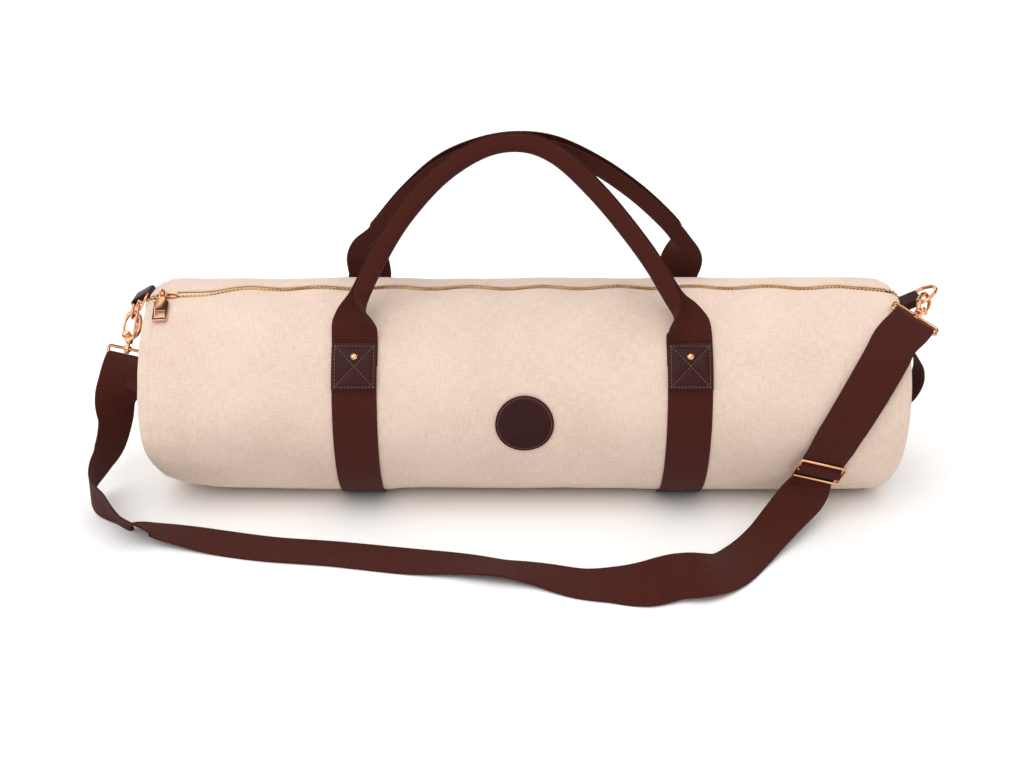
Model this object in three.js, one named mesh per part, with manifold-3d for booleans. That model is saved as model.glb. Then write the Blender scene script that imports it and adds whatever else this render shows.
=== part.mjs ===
// Yoga mat bag: a long round canvas duffel with a zip along its top, two rolled carry handles,
// end handles, and a webbing shoulder strap on swivel hooks that lies on the floor in front.
// Millimetres. X runs along the bag, the front faces -Y, Z is up, and the floor is Z = 0.

import * as THREE from 'three';
import Module from 'manifold-3d';
import { mergeVertices } from 'three/addons/utils/BufferGeometryUtils.js';

const wasm = await Module();
wasm.setup();

// Bag body
const bagLength = 660;
const bagDiameter = 190;
const canvas = 1.6;
const restSink = 4;
const domeLeft = 3;
const domeRight = 16;
const gap = 0.4;
const backPuff = 3.6;
const backPuffAngle = -27;
const backPuffReach = 26;
const bodySegments = 22;
const stationStep = 20;

// Webbing, bands, handles
const webWidth = 38;
const webThick = 1.8;
const webLift = 0.5;
const bandSpread = 285;
const bandShift = -2;
const bandBlend = 14;
const handleTop = 318;
const handleApart = 14;
const handleLip = 1.5;

// Leather patches, rivets and badge
const patchHeight = 39;
const patchThick = 1.6;
const patchAngle = 55.8;
const rivetRadius = 3.1;
const rivetHeight = 2.0;
const rivetRaise = 8;
const badgeDiameter = 50;
const badgeThick = 2;
const badgeAngle = 85.5;

// Zip
const slotFront = 3.8;
const slotBack = 6.5;
const tapeReach = 15;
const tapeThick = 0.8;
const zipPatch = 16.5;
const chainWidth = 5;
const chainThick = 2.2;
const chainSink = 0.7;
const zipWaveLength = 66;
const zipRise = 2.0;
const zipSway = 2.0;
const sliderThick = 1.6;
const sliderLength = 16;
const pullLength = 34;
const pullWidth = 12.4;
const pullThick = 1.4;
const pullPivot = 2.2;

// End fittings
const tabLength = 14;
const tabWidth = 20;
const tabThick = 6.4;
const dWidth = 25;
const dDepth = 18;
const dWire = 1.6;
const ringSpare = 5.4;
const ringWidth = webWidth + ringSpare;
const ringCorner = 2.2;
const ringHeight = 8.5;
const ringWire = 1.5;
const clawWire = 2.0;
const clawHigh = 9;
const clawWide = 6.5;
const hubDrop = 24;
const adjusterWidth = webWidth + ringSpare;
const adjusterHeight = 19;
const adjusterWire = 1.3;
const endHandleWidth = 34;

// Values that follow from the sizes above
const half = bagLength / 2;
const radius = bagDiameter / 2;
const axisHeight = radius - restSink;
const bandX = [bandShift - bandSpread / 2, bandShift + bandSpread / 2];
const degree = Math.PI / 180;
const up = new THREE.Vector3(0, 0, 1);

// Girth of the body along its length, as shares of its radius; lift raises the underside
const girthTable = [
  { along: -1.0, girth: 0.935, lift: 0.25 },
  { along: -0.985, girth: 0.966, lift: 0.17 },
  { along: -0.96, girth: 0.986, lift: 0.11 },
  { along: -0.9, girth: 0.995, lift: 0.05 },
  { along: -0.78, girth: 1.0, lift: 0.0 },
  { along: 0.9, girth: 1.0, lift: 0.0 },
  { along: 0.96, girth: 0.99, lift: 0.005 },
  { along: 0.985, girth: 0.968, lift: 0.02 },
  { along: 1.0, girth: 0.92, lift: 0.05 },
];

// Where the zip leaves the top line, as a share of the radius towards the front
const zipTable = [
  { along: -1.0, front: 0.185 },
  { along: -0.9, front: 0.165 },
  { along: -0.7, front: 0.03 },
  { along: 0.8, front: 0.0 },
  { along: 1.0, front: 0.07 },
];

// Soft hollows in the canvas: depth and reach as shares of the radius, around in degrees
const dentTable = [
  { along: -0.32, around: 36, depth: 0.022, reach: 0.26 },
  { along: 0.33, around: 38, depth: 0.02, reach: 0.26 },
  { along: -0.68, around: 104, depth: 0.028, reach: 0.45 },
  { along: -0.88, around: 72, depth: 0.02, reach: 0.3 },
  { along: 0.66, around: 104, depth: 0.026, reach: 0.36 },
  { along: 0.05, around: 66, depth: 0.012, reach: 0.6 },
  { along: 0.22, around: -82, depth: 0.022, reach: 0.5 },
  { along: -0.6, around: -74, depth: 0.02, reach: 0.45 },
];

// Carry handles: along as a share of half the band spread, rise as a share of the height from
// the patch top to the handle top, fold from 0 (flat webbing) to 1 (folded lengthwise)
const frontHandle = [
  { along: -1.0, rise: 0.1, fold: 0.08 },
  { along: -0.985, rise: 0.17, fold: 0.45 },
  { along: -0.955, rise: 0.25, fold: 0.9 },
  { along: -0.863, rise: 0.415, fold: 1 },
  { along: -0.7, rise: 0.637, fold: 1 },
  { along: -0.453, rise: 0.86, fold: 1 },
  { along: -0.192, rise: 0.985, fold: 1 },
  { along: 0.02, rise: 1.0, fold: 1 },
  { along: 0.2, rise: 0.94, fold: 1 },
  { along: 0.43, rise: 0.765, fold: 1 },
  { along: 0.65, rise: 0.545, fold: 1 },
  { along: 0.79, rise: 0.38, fold: 1 },
  { along: 0.9, rise: 0.222, fold: 0.85 },
  { along: 0.955, rise: 0.15, fold: 0.45 },
  { along: 0.99, rise: 0.085, fold: 0.08 },
];
const backHandle = [
  { along: -0.985, rise: 0.1, fold: 0.03 },
  { along: -0.99, rise: 0.22, fold: 0.2 },
  { along: -0.975, rise: 0.33, fold: 0.6 },
  { along: -0.9, rise: 0.42, fold: 1 },
  { along: -0.695, rise: 0.66, fold: 1 },
  { along: -0.46, rise: 0.86, fold: 1 },
  { along: -0.19, rise: 0.965, fold: 1 },
  { along: 0.02, rise: 0.985, fold: 1 },
  { along: 0.2, rise: 0.955, fold: 1 },
  { along: 0.46, rise: 0.83, fold: 1 },
  { along: 0.69, rise: 0.67, fold: 1 },
  { along: 0.86, rise: 0.52, fold: 1 },
  { along: 0.97, rise: 0.4, fold: 0.95 },
  { along: 1.02, rise: 0.29, fold: 0.5 },
  { along: 1.03, rise: 0.19, fold: 0.15 },
  { along: 1.01, rise: 0.09, fold: 0.03 },
];

// Shoulder strap between the left ring and the bag's front: along as a share of half the bag
// length, out (towards the front) and lift (of the lower edge) as shares of the radius, turn as the
// compass angle of the width direction and tilt as its rise, both in degrees
const strapTable = [
  { along: -1.108, out: 0.14, lift: 1.02, turn: 2, tilt: 0 },
  { along: -1.121, out: 0.175, lift: 0.86, turn: 34, tilt: 0 },
  { along: -1.124, out: 0.21, lift: 0.68, turn: 52, tilt: 0 },
  { along: -1.138, out: 0.32, lift: 0.35, turn: 59, tilt: -39 },
  { along: -1.156, out: 0.42, lift: 0.196, turn: 80, tilt: -64 },
  { along: -1.172, out: 0.65, lift: 0.092, turn: 113, tilt: -71 },
  { along: -1.152, out: 0.87, lift: 0.028, turn: 100, tilt: -79 },
  { along: -1.091, out: 1.07, lift: 0.003, turn: 65, tilt: -70 },
  { along: -1.035, out: 1.25, lift: 0.015, turn: 87, tilt: -43 },
  { along: -0.978, out: 1.2, lift: 0, turn: 89, tilt: -17 },
  { along: -0.895, out: 1.25, lift: 0, turn: 84, tilt: -7 },
  { along: -0.783, out: 1.35, lift: 0, turn: 78, tilt: 0 },
  { along: -0.661, out: 1.45, lift: 0, turn: 81, tilt: 0 },
  { along: -0.49, out: 1.53, lift: 0, turn: 86, tilt: 0 },
  { along: -0.297, out: 1.66, lift: 0, turn: 86, tilt: 1 },
  { along: -0.168, out: 1.73, lift: 0, turn: 83, tilt: -6 },
  { along: -0.062, out: 1.83, lift: 0, turn: 83, tilt: -12 },
  { along: 0.038, out: 1.89, lift: 0, turn: 76, tilt: -4 },
  { along: 0.143, out: 2.05, lift: 0, turn: 75, tilt: 7 },
  { along: 0.221, out: 2.12, lift: 0, turn: 79, tilt: 18 },
  { along: 0.301, out: 2.21, lift: 0, turn: 84, tilt: 42 },
  { along: 0.376, out: 2.15, lift: 0.03, turn: 96, tilt: 42 },
  { along: 0.439, out: 2.13, lift: 0.05, turn: 106, tilt: 36 },
  { along: 0.505, out: 1.93, lift: 0.03, turn: 111, tilt: 16 },
  { along: 0.569, out: 1.62, lift: 0.015, turn: 118, tilt: 7 },
  { along: 0.628, out: 1.36, lift: 0.05, turn: 128, tilt: 5 },
  { along: 0.678, out: 1.18, lift: 0.13, turn: 143, tilt: 9 },
  { along: 0.718, out: 1.05, lift: 0.2, turn: 162, tilt: 14 },
];

// The same strap where it lies on the bag's front: around in degrees from the top, and along
const climb = [
  { around: 42.5, along: 0.956 },
  { around: 52.8, along: 0.925 },
  { around: 62.5, along: 0.895 },
  { around: 72.2, along: 0.866 },
  { around: 82.2, along: 0.838 },
  { around: 93, along: 0.811 },
  { around: 103, along: 0.793 },
  { around: 113, along: 0.775 },
];

// End handles: height as a share of the bag's diameter, bulge as a share of the radius
const endHandleRight = [
  { height: 0.745, bulge: 0 },
  { height: 0.68, bulge: 0.045 },
  { height: 0.6, bulge: 0.12 },
  { height: 0.53, bulge: 0.125 },
  { height: 0.46, bulge: 0.075 },
  { height: 0.4, bulge: 0.0 },
  { height: 0.34, bulge: 0.018 },
  { height: 0.26, bulge: 0.004 },
  { height: 0.17, bulge: 0 },
];
const endHandleLeft = [
  { height: 0.745, bulge: 0 },
  { height: 0.71, bulge: 0.055 },
  { height: 0.64, bulge: 0.07 },
  { height: 0.54, bulge: 0.05 },
  { height: 0.45, bulge: 0.01 },
  { height: 0.36, bulge: 0.012 },
  { height: 0.27, bulge: 0 },
];

// Small helpers

function vec(x, y, z) {
  return new THREE.Vector3(x, y, z);
}

function smooth(t) {
  const s = Math.min(1, Math.max(0, t));
  return s * s * (3 - 2 * s);
}

function valueAt(table, at, key, column) {
  const last = table[table.length - 1];
  const next = table.find((row) => row[key] >= at) ?? last;
  const previous = table[Math.max(0, table.indexOf(next) - 1)];
  const span = next[key] - previous[key] || 1;
  const share = Math.min(1, Math.max(0, (at - previous[key]) / span));
  return previous[column] + (next[column] - previous[column]) * share;
}

function solid(points, triangles) {
  let volume = 0;
  for (const [a, b, c] of triangles) {
    volume += points[a].dot(vec(0, 0, 0).crossVectors(points[b], points[c]));
  }
  const faces = volume < 0 ? triangles.map(([a, b, c]) => [a, c, b]) : triangles;
  const geometry = new THREE.BufferGeometry();
  const position = points.flatMap((p) => [p.x, p.y, p.z]);
  geometry.setAttribute('position', new THREE.Float32BufferAttribute(position, 3));
  geometry.setIndex(faces.flat());
  geometry.computeVertexNormals();
  return geometry;
}

// A closed skin through rings of equal even length; an open run gets a strip of faces at each end
function loft(rings, closed = false) {
  const count = rings[0].length;
  const points = rings.flat();
  const triangles = [];
  const quad = (a, b, c, d) => triangles.push([a, b, c], [a, c, d]);
  const runs = closed ? rings.length : rings.length - 1;
  for (let i = 0; i < runs; i += 1) {
    const here = i * count;
    const there = ((i + 1) % rings.length) * count;
    for (let j = 0; j < count; j += 1) {
      const k = (j + 1) % count;
      quad(here + j, here + k, there + k, there + j);
    }
  }
  if (!closed) {
    const end = (rings.length - 1) * count;
    for (let j = 0; j < count / 2 - 1; j += 1) {
      quad(j, count - 1 - j, count - 2 - j, j + 1);
      quad(end + j, end + j + 1, end + count - 2 - j, end + count - 1 - j);
    }
  }
  return solid(points, triangles);
}

// One ring of a ribbon: face points, then back points in return order
function ribbonRing(face, back) {
  return [...face, ...back.slice().reverse()];
}

// A strip of even width and thickness along rows of { at, wide }, normals from its own run
function strip(rows, width, thick) {
  const rings = rows.map((row, i) => {
    const before = rows[Math.max(0, i - 1)].at;
    const after = rows[Math.min(rows.length - 1, i + 1)].at;
    const run = after.clone().sub(before).normalize();
    const wide = row.wide.clone().addScaledVector(run, -row.wide.dot(run)).normalize();
    const normal = vec(0, 0, 0).crossVectors(run, wide);
    const corner = (w, n) => row.at.clone().addScaledVector(wide, w * width / 2)
      .addScaledVector(normal, n * thick / 2);
    return [corner(-1, 1), corner(1, 1), corner(1, -1), corner(-1, -1)];
  });
  return loft(rings);
}

// A round wire bent along a closed or open path that lies near one plane
function wire(path, normal, thickness, closed, sides = 6) {
  const count = path.length;
  const rings = path.map((p, i) => {
    const before = closed ? path[(i - 1 + count) % count] : path[Math.max(0, i - 1)];
    const after = closed ? path[(i + 1) % count] : path[Math.min(count - 1, i + 1)];
    const run = after.clone().sub(before).normalize();
    const side = vec(0, 0, 0).crossVectors(normal, run).normalize();
    return Array.from({ length: sides }, (_, k) => {
      const turn = (k / sides) * 2 * Math.PI;
      return p.clone().addScaledVector(side, thickness * Math.cos(turn))
        .addScaledVector(normal, thickness * Math.sin(turn));
    });
  });
  return loft(rings, closed);
}

function asManifold(geometry) {
  const bare = new THREE.BufferGeometry();
  bare.setAttribute('position', geometry.getAttribute('position').clone());
  if (geometry.index) bare.setIndex(geometry.index.clone());
  const merged = mergeVertices(bare, 1e-4);
  return new wasm.Manifold(new wasm.Mesh({
    numProp: 3,
    vertProperties: new Float32Array(merged.getAttribute('position').array),
    triVerts: new Uint32Array(merged.index.array),
  }));
}

function fromManifold(body) {
  const mesh = body.getMesh();
  const geometry = new THREE.BufferGeometry();
  geometry.setAttribute('position', new THREE.BufferAttribute(new Float32Array(mesh.vertProperties), 3));
  geometry.setIndex(Array.from(mesh.triVerts));
  geometry.computeVertexNormals();
  return geometry;
}

function join(first, ...others) {
  return fromManifold(others.reduce((body, other) => body.add(asManifold(other)), asManifold(first)));
}

function cut(first, ...others) {
  return fromManifold(others.reduce((body, other) => body.subtract(asManifold(other)), asManifold(first)));
}

// Places a geometry drawn in its own x, y, z on three directions at a point
function place(geometry, at, x, y, z) {
  const placed = geometry.clone();
  placed.applyMatrix4(new THREE.Matrix4().makeBasis(x, y, z).setPosition(at));
  return placed;
}

function disc(discRadius, height, sides) {
  return new THREE.CylinderGeometry(discRadius, discRadius, height, sides);
}

// The body's surface

function bandRecess(x) {
  const flat = webWidth / 2 + 2;
  const nearest = Math.min(...bandX.map((band) => Math.abs(x - band)));
  return (webThick + webLift) * (1 - smooth((nearest - flat) / bandBlend));
}

function dentAt(x, angle) {
  return dentTable.reduce((sum, dent) => {
    const dx = x - dent.along * half;
    const ds = (angle - dent.around * degree) * radius;
    const reach = dent.reach * radius;
    return sum + dent.depth * radius * Math.exp(-(dx * dx + ds * ds) / (reach * reach));
  }, 0);
}

// A point on the canvas: angle from the top line, towards the front, and a distance outside it
function skin(x, angle, out = 0) {
  const wrapped = angle > Math.PI ? angle - 2 * Math.PI : angle;
  const nearZip = Math.exp(-((wrapped * radius / zipPatch) ** 2));
  const wave = Math.sin((2 * Math.PI * x) / zipWaveLength);
  const calm = 1 - smooth((Math.abs(x) / half - 0.82) / 0.12);
  const shift = valueAt(zipTable, x / half, 'along', 'front') + (zipSway / radius) * wave * calm;
  const turned = wrapped + shift * nearZip;
  const girth = valueAt(girthTable, x / half, 'along', 'girth');
  const lift = valueAt(girthTable, x / half, 'along', 'lift');
  const fromPuff = ((wrapped - backPuffAngle * degree) * radius) / backPuffReach;
  const reach = radius * girth + out - dentAt(x, wrapped) + backPuff * Math.exp(-(fromPuff ** 2));
  const bump = zipRise * wave * calm * nearZip;
  const drop = Math.cos(turned) < 0 ? 1 - lift : 1;
  const z = axisHeight + reach * Math.cos(turned) * drop + bump;
  return vec(x, -reach * Math.sin(turned), Math.max(z, bandRecess(x) - out));
}

function outward(x, angle) {
  return skin(x, angle, 1).sub(skin(x, angle, 0)).normalize();
}

function stationsBetween(marks) {
  const list = [marks[0]];
  for (let i = 1; i < marks.length; i += 1) {
    const span = marks[i] - marks[i - 1];
    const steps = Math.max(1, Math.ceil(span / stationStep));
    for (let k = 1; k <= steps; k += 1) list.push(marks[i - 1] + (span * k) / steps);
  }
  return list;
}

const bandEdge = webWidth / 2 + 2;
const ends = [1, 0.985, 0.96, 0.9];
const stations = stationsBetween([
  ...ends.map((share) => -half * share),
  ...bandX.flatMap((x) => [x - bandEdge - bandBlend, x - bandEdge, x + bandEdge, x + bandEdge + bandBlend]),
  ...ends.map((share) => half * share).reverse(),
]);

// Angles of the canvas rows, from the slot's front edge round to its back edge
const canvasAngles = [
  slotFront / radius,
  ...Array.from({ length: bodySegments - 1 }, (_, i) => {
    const start = zipPatch / radius;
    return start + ((2 * Math.PI - 2 * start) * i) / (bodySegments - 2);
  }),
  2 * Math.PI - slotBack / radius,
];

// Canvas tube, open at both ends and along the zip
function bodyPanel() {
  const angles = canvasAngles;
  return loft(stations.map((x) => ribbonRing(
    angles.map((angle) => skin(x, angle)),
    angles.map((angle) => skin(x, angle, -canvas)),
  )));
}

// Round end panel: share 1 is its rim, share 0 its centre
function panelPoint(side, share, angle, out = 0) {
  const rim = skin(side * half, angle, -canvas - gap);
  const dome = side < 0 ? domeLeft : domeRight;
  const middle = vec(side * half, 0, axisHeight + (side < 0 ? 6 : 2));
  const point = middle.lerp(rim, share);
  point.x = side * (half + dome * (1 - share * share) + out);
  return point;
}

function endPanel(side) {
  const shares = [1, 0.86, 0.62, 0.32];
  const angles = canvasAngles;
  const count = angles.length;
  const layer = (out) => shares.map((share) => angles.map((angle) => panelPoint(side, share, angle, out)));
  const points = [...layer(0).flat(), ...layer(-canvas).flat()];
  const ringStart = (level, k) => (level * shares.length + k) * count;
  const centres = [points.length, points.length + 1];
  points.push(panelPoint(side, 0, 0), panelPoint(side, 0, 0, -canvas));
  const triangles = [];
  const last = shares.length - 1;
  for (let j = 0; j < count; j += 1) {
    const k = (j + 1) % count;
    for (let ring = 0; ring < last; ring += 1) {
      const [a, b] = [ringStart(0, ring), ringStart(0, ring + 1)];
      const [c, d] = [ringStart(1, ring), ringStart(1, ring + 1)];
      triangles.push([a + j, b + j, b + k], [a + j, b + k, a + k]);
      triangles.push([c + j, d + k, d + j], [c + j, c + k, d + k]);
    }
    triangles.push([ringStart(0, last) + j, centres[0], ringStart(0, last) + k]);
    triangles.push([ringStart(1, last) + j, ringStart(1, last) + k, centres[1]]);
    triangles.push([ringStart(0, 0) + j, ringStart(0, 0) + k, ringStart(1, 0) + k]);
    triangles.push([ringStart(0, 0) + j, ringStart(1, 0) + k, ringStart(1, 0) + j]);
  }
  return solid(points, triangles);
}

// Webbing band round the underside, from patch to patch
function band(x) {
  const start = patchAngle * degree + gap / radius;
  const between = canvasAngles.filter((angle) => angle > start && angle < 2 * Math.PI - start);
  return loft([start, ...between, 2 * Math.PI - start].map((angle) => {
    const across = [1, 1 / 3, -1 / 3, -1].map((share) => x + (share * webWidth) / 2);
    return ribbonRing(
      across.map((at) => skin(at, angle, webLift + webThick)),
      across.map((at) => skin(at, angle, webLift)),
    );
  }));
}

// Leather patch over the join of band and handle; side is 1 at the front, -1 at the back
function patchBase() {
  return webLift + webThick + gap;
}

function patch(x, side) {
  const reach = patchHeight / 2 / radius;
  const rows = 4;
  return loft(Array.from({ length: rows + 1 }, (_, i) => {
    const angle = side * (patchAngle * degree - reach + (2 * reach * i) / rows);
    const across = [x - webWidth / 2, x + webWidth / 2];
    return ribbonRing(
      across.map((at) => skin(at, angle, patchBase() + patchThick)),
      across.map((at) => skin(at, angle, patchBase())),
    );
  }));
}

function rivet(x, side) {
  const angle = side * (patchAngle * degree - rivetRaise / radius);
  const profile = [
    new THREE.Vector2(0, 0),
    new THREE.Vector2(rivetRadius, 0),
    new THREE.Vector2(rivetRadius * 0.92, rivetHeight * 0.45),
    new THREE.Vector2(rivetRadius * 0.55, rivetHeight * 0.88),
    new THREE.Vector2(0, rivetHeight),
  ];
  const normal = outward(x, angle);
  const sideways = vec(0, 0, 0).crossVectors(vec(1, 0, 0), normal);
  const head = new THREE.LatheGeometry(profile, 10);
  return place(head, skin(x, angle, patchBase() + patchThick + gap), vec(1, 0, 0), normal, sideways);
}

// Round leather badge that follows the canvas
function badge() {
  const sides = 20;
  const rings = [1, 0.66, 0.33];
  const at = (share, k, out) => {
    const turn = (k / sides) * 2 * Math.PI;
    const reach = (badgeDiameter / 2) * share;
    return skin(reach * Math.cos(turn), badgeAngle * degree + (reach * Math.sin(turn)) / radius, out);
  };
  const points = [];
  for (const out of [webLift + badgeThick, webLift]) {
    for (const share of rings) {
      for (let k = 0; k < sides; k += 1) points.push(at(share, k, out));
    }
    points.push(at(0, 0, out));
  }
  const level = rings.length * sides + 1;
  const triangles = [];
  for (let j = 0; j < sides; j += 1) {
    const k = (j + 1) % sides;
    for (const [start, flip] of [[0, false], [level, true]]) {
      const add = (a, b, c) => triangles.push(flip ? [a, c, b] : [a, b, c]);
      for (let ring = 0; ring < rings.length - 1; ring += 1) {
        const [outer, inner] = [start + ring * sides, start + (ring + 1) * sides];
        add(outer + j, outer + k, inner + k);
        add(outer + j, inner + k, inner + j);
      }
      const lastRing = start + (rings.length - 1) * sides;
      add(lastRing + j, lastRing + k, start + rings.length * sides);
    }
    triangles.push([j, level + j, level + k], [j, level + k, k]);
  }
  return solid(points, triangles);
}

// Section of a carry handle in its own across and outward directions: a flat web at fold 0, and at
// fold 1 a lengthwise fold whose two flaps open to the outer side of the arch
function handleSection(fold) {
  const bend = 95 * fold * degree;
  const turn = 90 * fold * degree;
  const crease = -handleLip * fold;
  const outer = webWidth / 2 - crease;
  const inner = webWidth / 2 + crease;
  const near = webWidth * 0.15;
  const step = (from, angle, length) => [from[0] + length * Math.cos(angle), from[1] + length * Math.sin(angle)];
  const o1 = step([0, 0], bend / 2 - turn, near);
  const o2 = step(o1, bend - turn, outer - near);
  const i1 = step([0, 0], Math.PI - bend / 2 - turn, near);
  const i2 = step(i1, Math.PI - bend - turn, inner - near);
  const middle = [i2, i1, [0, 0], o1, o2];
  const mean = [0, 1].map((k) => middle.reduce((sum, p) => sum + p[k], 0) / middle.length);
  const normals = middle.map((_, i) => {
    const a = middle[Math.max(0, i - 1)];
    const b = middle[Math.min(middle.length - 1, i + 1)];
    const length = Math.hypot(b[0] - a[0], b[1] - a[1]);
    return [-(b[1] - a[1]) / length, (b[0] - a[0]) / length];
  });
  const layer = (side) => middle.map((p, i) => [
    p[0] - mean[0] + (side * normals[i][0] * webThick) / 2,
    p[1] - mean[1] + (side * normals[i][1] * webThick) / 2,
  ]);
  return [...layer(1), ...layer(-1).reverse()];
}

// Carry handle; side is 1 at the front, -1 at the back
function handle(table, side) {
  const layerOut = webLift + webThick / 2;
  const patchTop = patchAngle * degree - patchHeight / 2 / radius;
  const seat = (x, turn, share) => {
    const angle = side * (patchAngle * degree - gap / radius + (patchTop - patchAngle * degree) * share);
    const [left, right] = [x - webWidth / 2, x + webWidth / 2].map((at) => skin(at, angle, layerOut));
    const across = right.clone().sub(left).multiplyScalar(turn);
    return { at: left.add(right).multiplyScalar(0.5), across, fold: 0 };
  };
  const foot = skin(bandX[0], side * patchTop, layerOut);
  const topY = -side * handleApart / 2;
  const lean = (topY - foot.y) / (handleTop - foot.z);
  const curve = new THREE.CatmullRomCurve3(table.map((row) => vec(row.along, row.rise, row.fold)));
  const samples = 28;
  const arch = Array.from({ length: samples + 1 }, (_, i) => {
    const t = i / samples;
    const here = curve.getPoint(t);
    const run = curve.getPoint(Math.min(1, t + 0.01)).sub(curve.getPoint(Math.max(0, t - 0.01)));
    const rise = handleTop - foot.z;
    const flat = vec((run.x * bandSpread) / 2, run.y * rise, 0).normalize();
    const z = foot.z + here.y * rise;
    return {
      at: vec(bandShift + (here.x * bandSpread) / 2, foot.y + (z - foot.z) * lean, z),
      across: vec(-flat.y, flat.x * lean, flat.x),
      fold: Math.min(1, Math.max(0, here.z)),
    };
  });
  const rows = [
    seat(bandX[0], -1, 0), seat(bandX[0], -1, 0.5), seat(bandX[0], -1, 1),
    ...arch,
    seat(bandX[1], 1, 1), seat(bandX[1], 1, 0.5), seat(bandX[1], 1, 0),
  ];
  return loft(rows.map((row, i) => {
    const before = rows[Math.max(0, i - 1)].at;
    const after = rows[Math.min(rows.length - 1, i + 1)].at;
    const run = after.clone().sub(before).normalize();
    const across = row.across.clone().addScaledVector(run, -row.across.dot(run)).normalize();
    const out = vec(0, 0, 0).crossVectors(run, across).multiplyScalar(side);
    return handleSection(row.fold).map(([a, b]) => row.at.clone().addScaledVector(across, a).addScaledVector(out, b));
  }));
}

// Zip: chain of teeth, tapes beneath the canvas edges, two sliders with pulls
const chainEndOut = 1.6;
const chainEase = 15;

function chainOut(x) {
  return -chainSink + (chainSink + chainEndOut) * smooth((Math.abs(x) - half + chainEase) / chainEase);
}

function chainRows() {
  const along = stations.map((x) => {
    const out = chainOut(x);
    const wide = skin(x, 0.02, out).sub(skin(x, -0.02, out)).normalize();
    return { at: skin(x, 0, out), wide };
  });
  const overEnd = [0.985, 0.96].map((share) => {
    const at = panelPoint(-1, share, 0);
    at.x -= gap + chainThick / 2;
    return { at, wide: skin(-half, 0.02).sub(skin(-half, -0.02)) };
  });
  return [...overEnd.reverse(), ...along];
}

function zipTape(side) {
  const reach = [chainWidth / 2 + gap, tapeReach].map((distance) => (side * distance) / radius);
  const angles = side > 0 ? reach.reverse() : reach;
  const top = -canvas - gap;
  return loft(stations.filter((x) => Math.abs(x) < half * 0.97).map((x) => ribbonRing(
    angles.map((angle) => skin(x, angle, top)),
    angles.map((angle) => skin(x, angle, top - tapeThick)),
  )));
}

// Slider drawn with x along the zip, z outwards and its bridge over the origin
function sliderShape(bridgeAlongZip) {
  const tail = sliderLength * 0.25;
  const nose = sliderLength - tail;
  const outline = new THREE.Shape([
    new THREE.Vector2(-tail, -2.6), new THREE.Vector2(-tail + 1.5, -3.5), new THREE.Vector2(3.5, -3.6),
    new THREE.Vector2(nose - 3, -4.6), new THREE.Vector2(nose, -3.2), new THREE.Vector2(nose, 3.2),
    new THREE.Vector2(nose - 3, 4.6), new THREE.Vector2(3.5, 3.6), new THREE.Vector2(-tail + 1.5, 3.5),
    new THREE.Vector2(-tail, 2.6),
  ]);
  const plate = new THREE.ExtrudeGeometry(outline, { depth: sliderThick, bevelEnabled: false });
  const top = sliderThick + pullPivot + 1.2;
  const leg = 1.2;
  const reach = 2.9;
  const box = (length, width, height, x, y, z) => {
    const geometry = new THREE.BoxGeometry(...(bridgeAlongZip ? [length, width, height] : [width, length, height]));
    return geometry.translate(...(bridgeAlongZip ? [x, y, z] : [y, x, z]));
  };
  const legHeight = top - sliderThick + 0.4;
  const legZ = sliderThick - 0.4 + legHeight / 2;
  const middle = 0;
  return join(
    plate,
    box(leg, 2.4, legHeight, middle - reach, 0, legZ),
    box(leg, 2.4, legHeight, middle + reach, 0, legZ),
    box(2 * reach + leg, 2.4, 1.1, middle, 0, top + 0.5),
  );
}

// Pull drawn hanging down -y from its top bar at the origin, z across its thickness
function pullShape() {
  const neck = 3.1;
  const w = pullWidth / 2;
  const shoulder = 12;
  const outline = new THREE.Shape([
    new THREE.Vector2(-neck, 0.8), new THREE.Vector2(-neck, -8), new THREE.Vector2(-w, -shoulder),
    new THREE.Vector2(-w, -pullLength + 1), new THREE.Vector2(-w + 1, -pullLength),
    new THREE.Vector2(w - 1, -pullLength), new THREE.Vector2(w, -pullLength + 1),
    new THREE.Vector2(w, -shoulder), new THREE.Vector2(neck, -8), new THREE.Vector2(neck, 0.8),
  ]);
  const hole = (x, top, bottom) => new THREE.Path([
    new THREE.Vector2(-x, top), new THREE.Vector2(x, top),
    new THREE.Vector2(x, bottom), new THREE.Vector2(-x, bottom),
  ]);
  outline.holes.push(hole(1.8, -0.8, -6));
  outline.holes.push(hole(w * 0.66, -pullLength * 0.66, -pullLength * 0.88));
  const plate = new THREE.ExtrudeGeometry(outline, { depth: pullThick, bevelEnabled: false });
  return plate.translate(0, 0, -pullThick / 2);
}

function frameFrom(along, out) {
  const wide = vec(0, 0, 0).crossVectors(out, along).normalize();
  return { along: vec(0, 0, 0).crossVectors(wide, out).normalize(), wide, out };
}

function sliderOnTop() {
  const x = -half * 0.957;
  const out = outward(x, 0);
  const along = skin(x + 4, 0).sub(skin(x - 4, 0)).normalize();
  const frame = frameFrom(along, out);
  const base = skin(x, 0, chainOut(x - sliderLength / 4) + chainThick / 2 + gap);
  const pivot = base.clone().addScaledVector(frame.out, sliderThick + pullPivot);
  const rim = radius * valueAt(girthTable, x / half, 'along', 'girth') + gap + pullThick / 2;
  const pivotReach = rim + chainThick / 2 + sliderThick + pullPivot - pullThick / 2;
  const dip = Math.acos(rim / pivotReach) * 0.85;
  const hang = frame.wide.clone().multiplyScalar(-Math.cos(dip)).addScaledVector(frame.out, -Math.sin(dip));
  return { base, frame, pivot, hang, axis: frame.along, bridgeAlongZip: false };
}

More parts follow.
